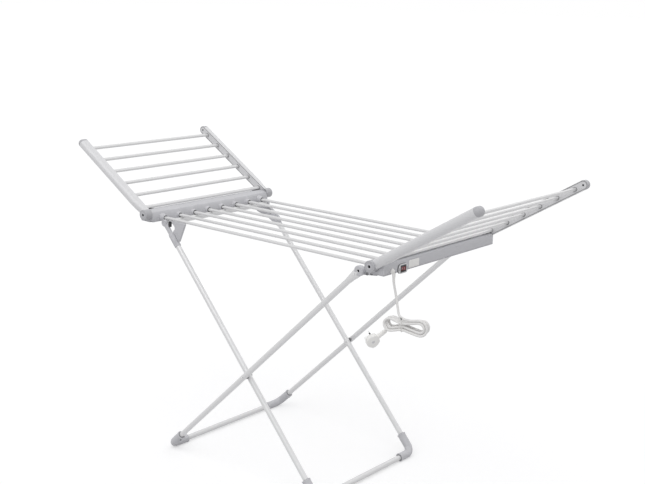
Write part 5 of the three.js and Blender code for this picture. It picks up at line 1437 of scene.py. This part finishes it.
class AirerInside(bpy.types.Operator):
    """Gives the parts inside the housings their finishes"""
    bl_idname = "airer.inside"
    bl_label = "Inner parts"

    def execute(self, context):
        made = finishes(context)
        for node, finish in (("rack_heating_cable", "silicone"), ("terminal_block", "white")):
            for material_slot in frame["nodes"][node].material_slots:
                material_slot.material = made[f"airer_{finish}"]
        return {"FINISHED"}


class AirerStage(bpy.types.Operator):
    """Lays the plain floor and lights the airer softly"""
    bl_idname = "airer.stage"
    bl_label = "Stage"

    def execute(self, context):
        part = bmesh.new()
        studio = context.scene.airer_studio
        bmesh.ops.create_grid(part, x_segments=8, y_segments=8, size=studio.floor_half)
        mesh = bpy.data.meshes.new("floor")
        part.to_mesh(mesh)
        part.free()
        mesh.materials.append(self.floor_finish(context.scene.airer_finishes.floor, studio.glow))
        linked(context, "floor", mesh)
        self.world(context.scene, studio.sky)
        lamps = (("key", studio.key_way, studio.key, 60), ("back", studio.back_way, studio.back, 70))
        for name, toward, strength, spread in lamps:
            lamp = bpy.data.lights.new(name, "SUN")
            lamp.energy, lamp.angle = strength, math.radians(spread)
            turn = (-Vector(toward)).to_track_quat("-Z", "Y")
            linked(context, name, lamp).matrix_world = turn.to_matrix().to_4x4()
        context.scene.view_settings.view_transform = "Standard"
        return {"FINISHED"}

    def floor_finish(self, shade, glow):
        """A pale floor that the camera sees as near white, with the shadow kept"""
        finish = Finish(bpy.data.materials.new("studio_floor"))
        camera, glossy, through = finish.rays("Is Camera Ray", "Is Glossy Ray", "Is Transmission Ray")
        seen = camera + glossy + through
        mottled = finish.blend(finish.noise(1.5, 2), linear(shade, 0.99), linear(shade))
        lit = finish.node("ShaderNodeBsdfDiffuse", {}, Color=mottled)
        bright = finish.node("ShaderNodeEmission", {}, Color=WHITE, Strength=seen * glow)
        return finish.shown(finish.node("ShaderNodeAddShader", {}, lit, bright))

    def world(self, scene, sky):
        """Soft grey light all round, and white where the camera or a reflection sees past the floor"""
        scene.world = bpy.data.worlds.new("studio")
        finish = Finish(scene.world, "ShaderNodeOutputWorld")
        camera, glossy, through = finish.rays("Is Camera Ray", "Is Glossy Ray", "Is Transmission Ray")
        mirrored = camera.maths("MAXIMUM", camera, glossy)
        seen = camera.maths("MAXIMUM", mirrored, through)
        soft = finish.node("ShaderNodeBackground", {}, Color=WHITE, Strength=sky)
        white = finish.node("ShaderNodeBackground", {}, Color=WHITE, Strength=1)
        finish.shown(finish.node("ShaderNodeMixShader", {}, seen, soft, white))


STEPS = (AirerView, AirerLead, AirerRackBars, AirerWings, AirerHousings, AirerBaseCovers, AirerScrews,
         AirerLegs, AirerElbows, AirerKnuckles, AirerBrackets, AirerSwitch, AirerInside, AirerStage)


class AIRER_PT_build(bpy.types.Panel):
    """Lists the steps that build the airer"""
    bl_label = "Heated clothes airer"
    bl_space_type = "VIEW_3D"
    bl_region_type = "UI"
    bl_category = "Airer"

    def draw(self, context):
        for step in STEPS:
            self.layout.operator(step.bl_idname)


CLASSES = (*GROUPS.values(), *STEPS, AIRER_PT_build)


def register():
    for made in CLASSES:
        bpy.utils.register_class(made)
    for name, group in GROUPS.items():
        setattr(bpy.types.Scene, name, PointerProperty(type=group))


def unregister():
    for name in GROUPS:
        delattr(bpy.types.Scene, name)
    for made in reversed(CLASSES):
        bpy.utils.unregister_class(made)


def main():
    register()
    for step in STEPS:
        group, name = step.bl_idname.split(".")
        getattr(getattr(bpy.ops, group), name)()


if __name__ == "__main__":
    main()
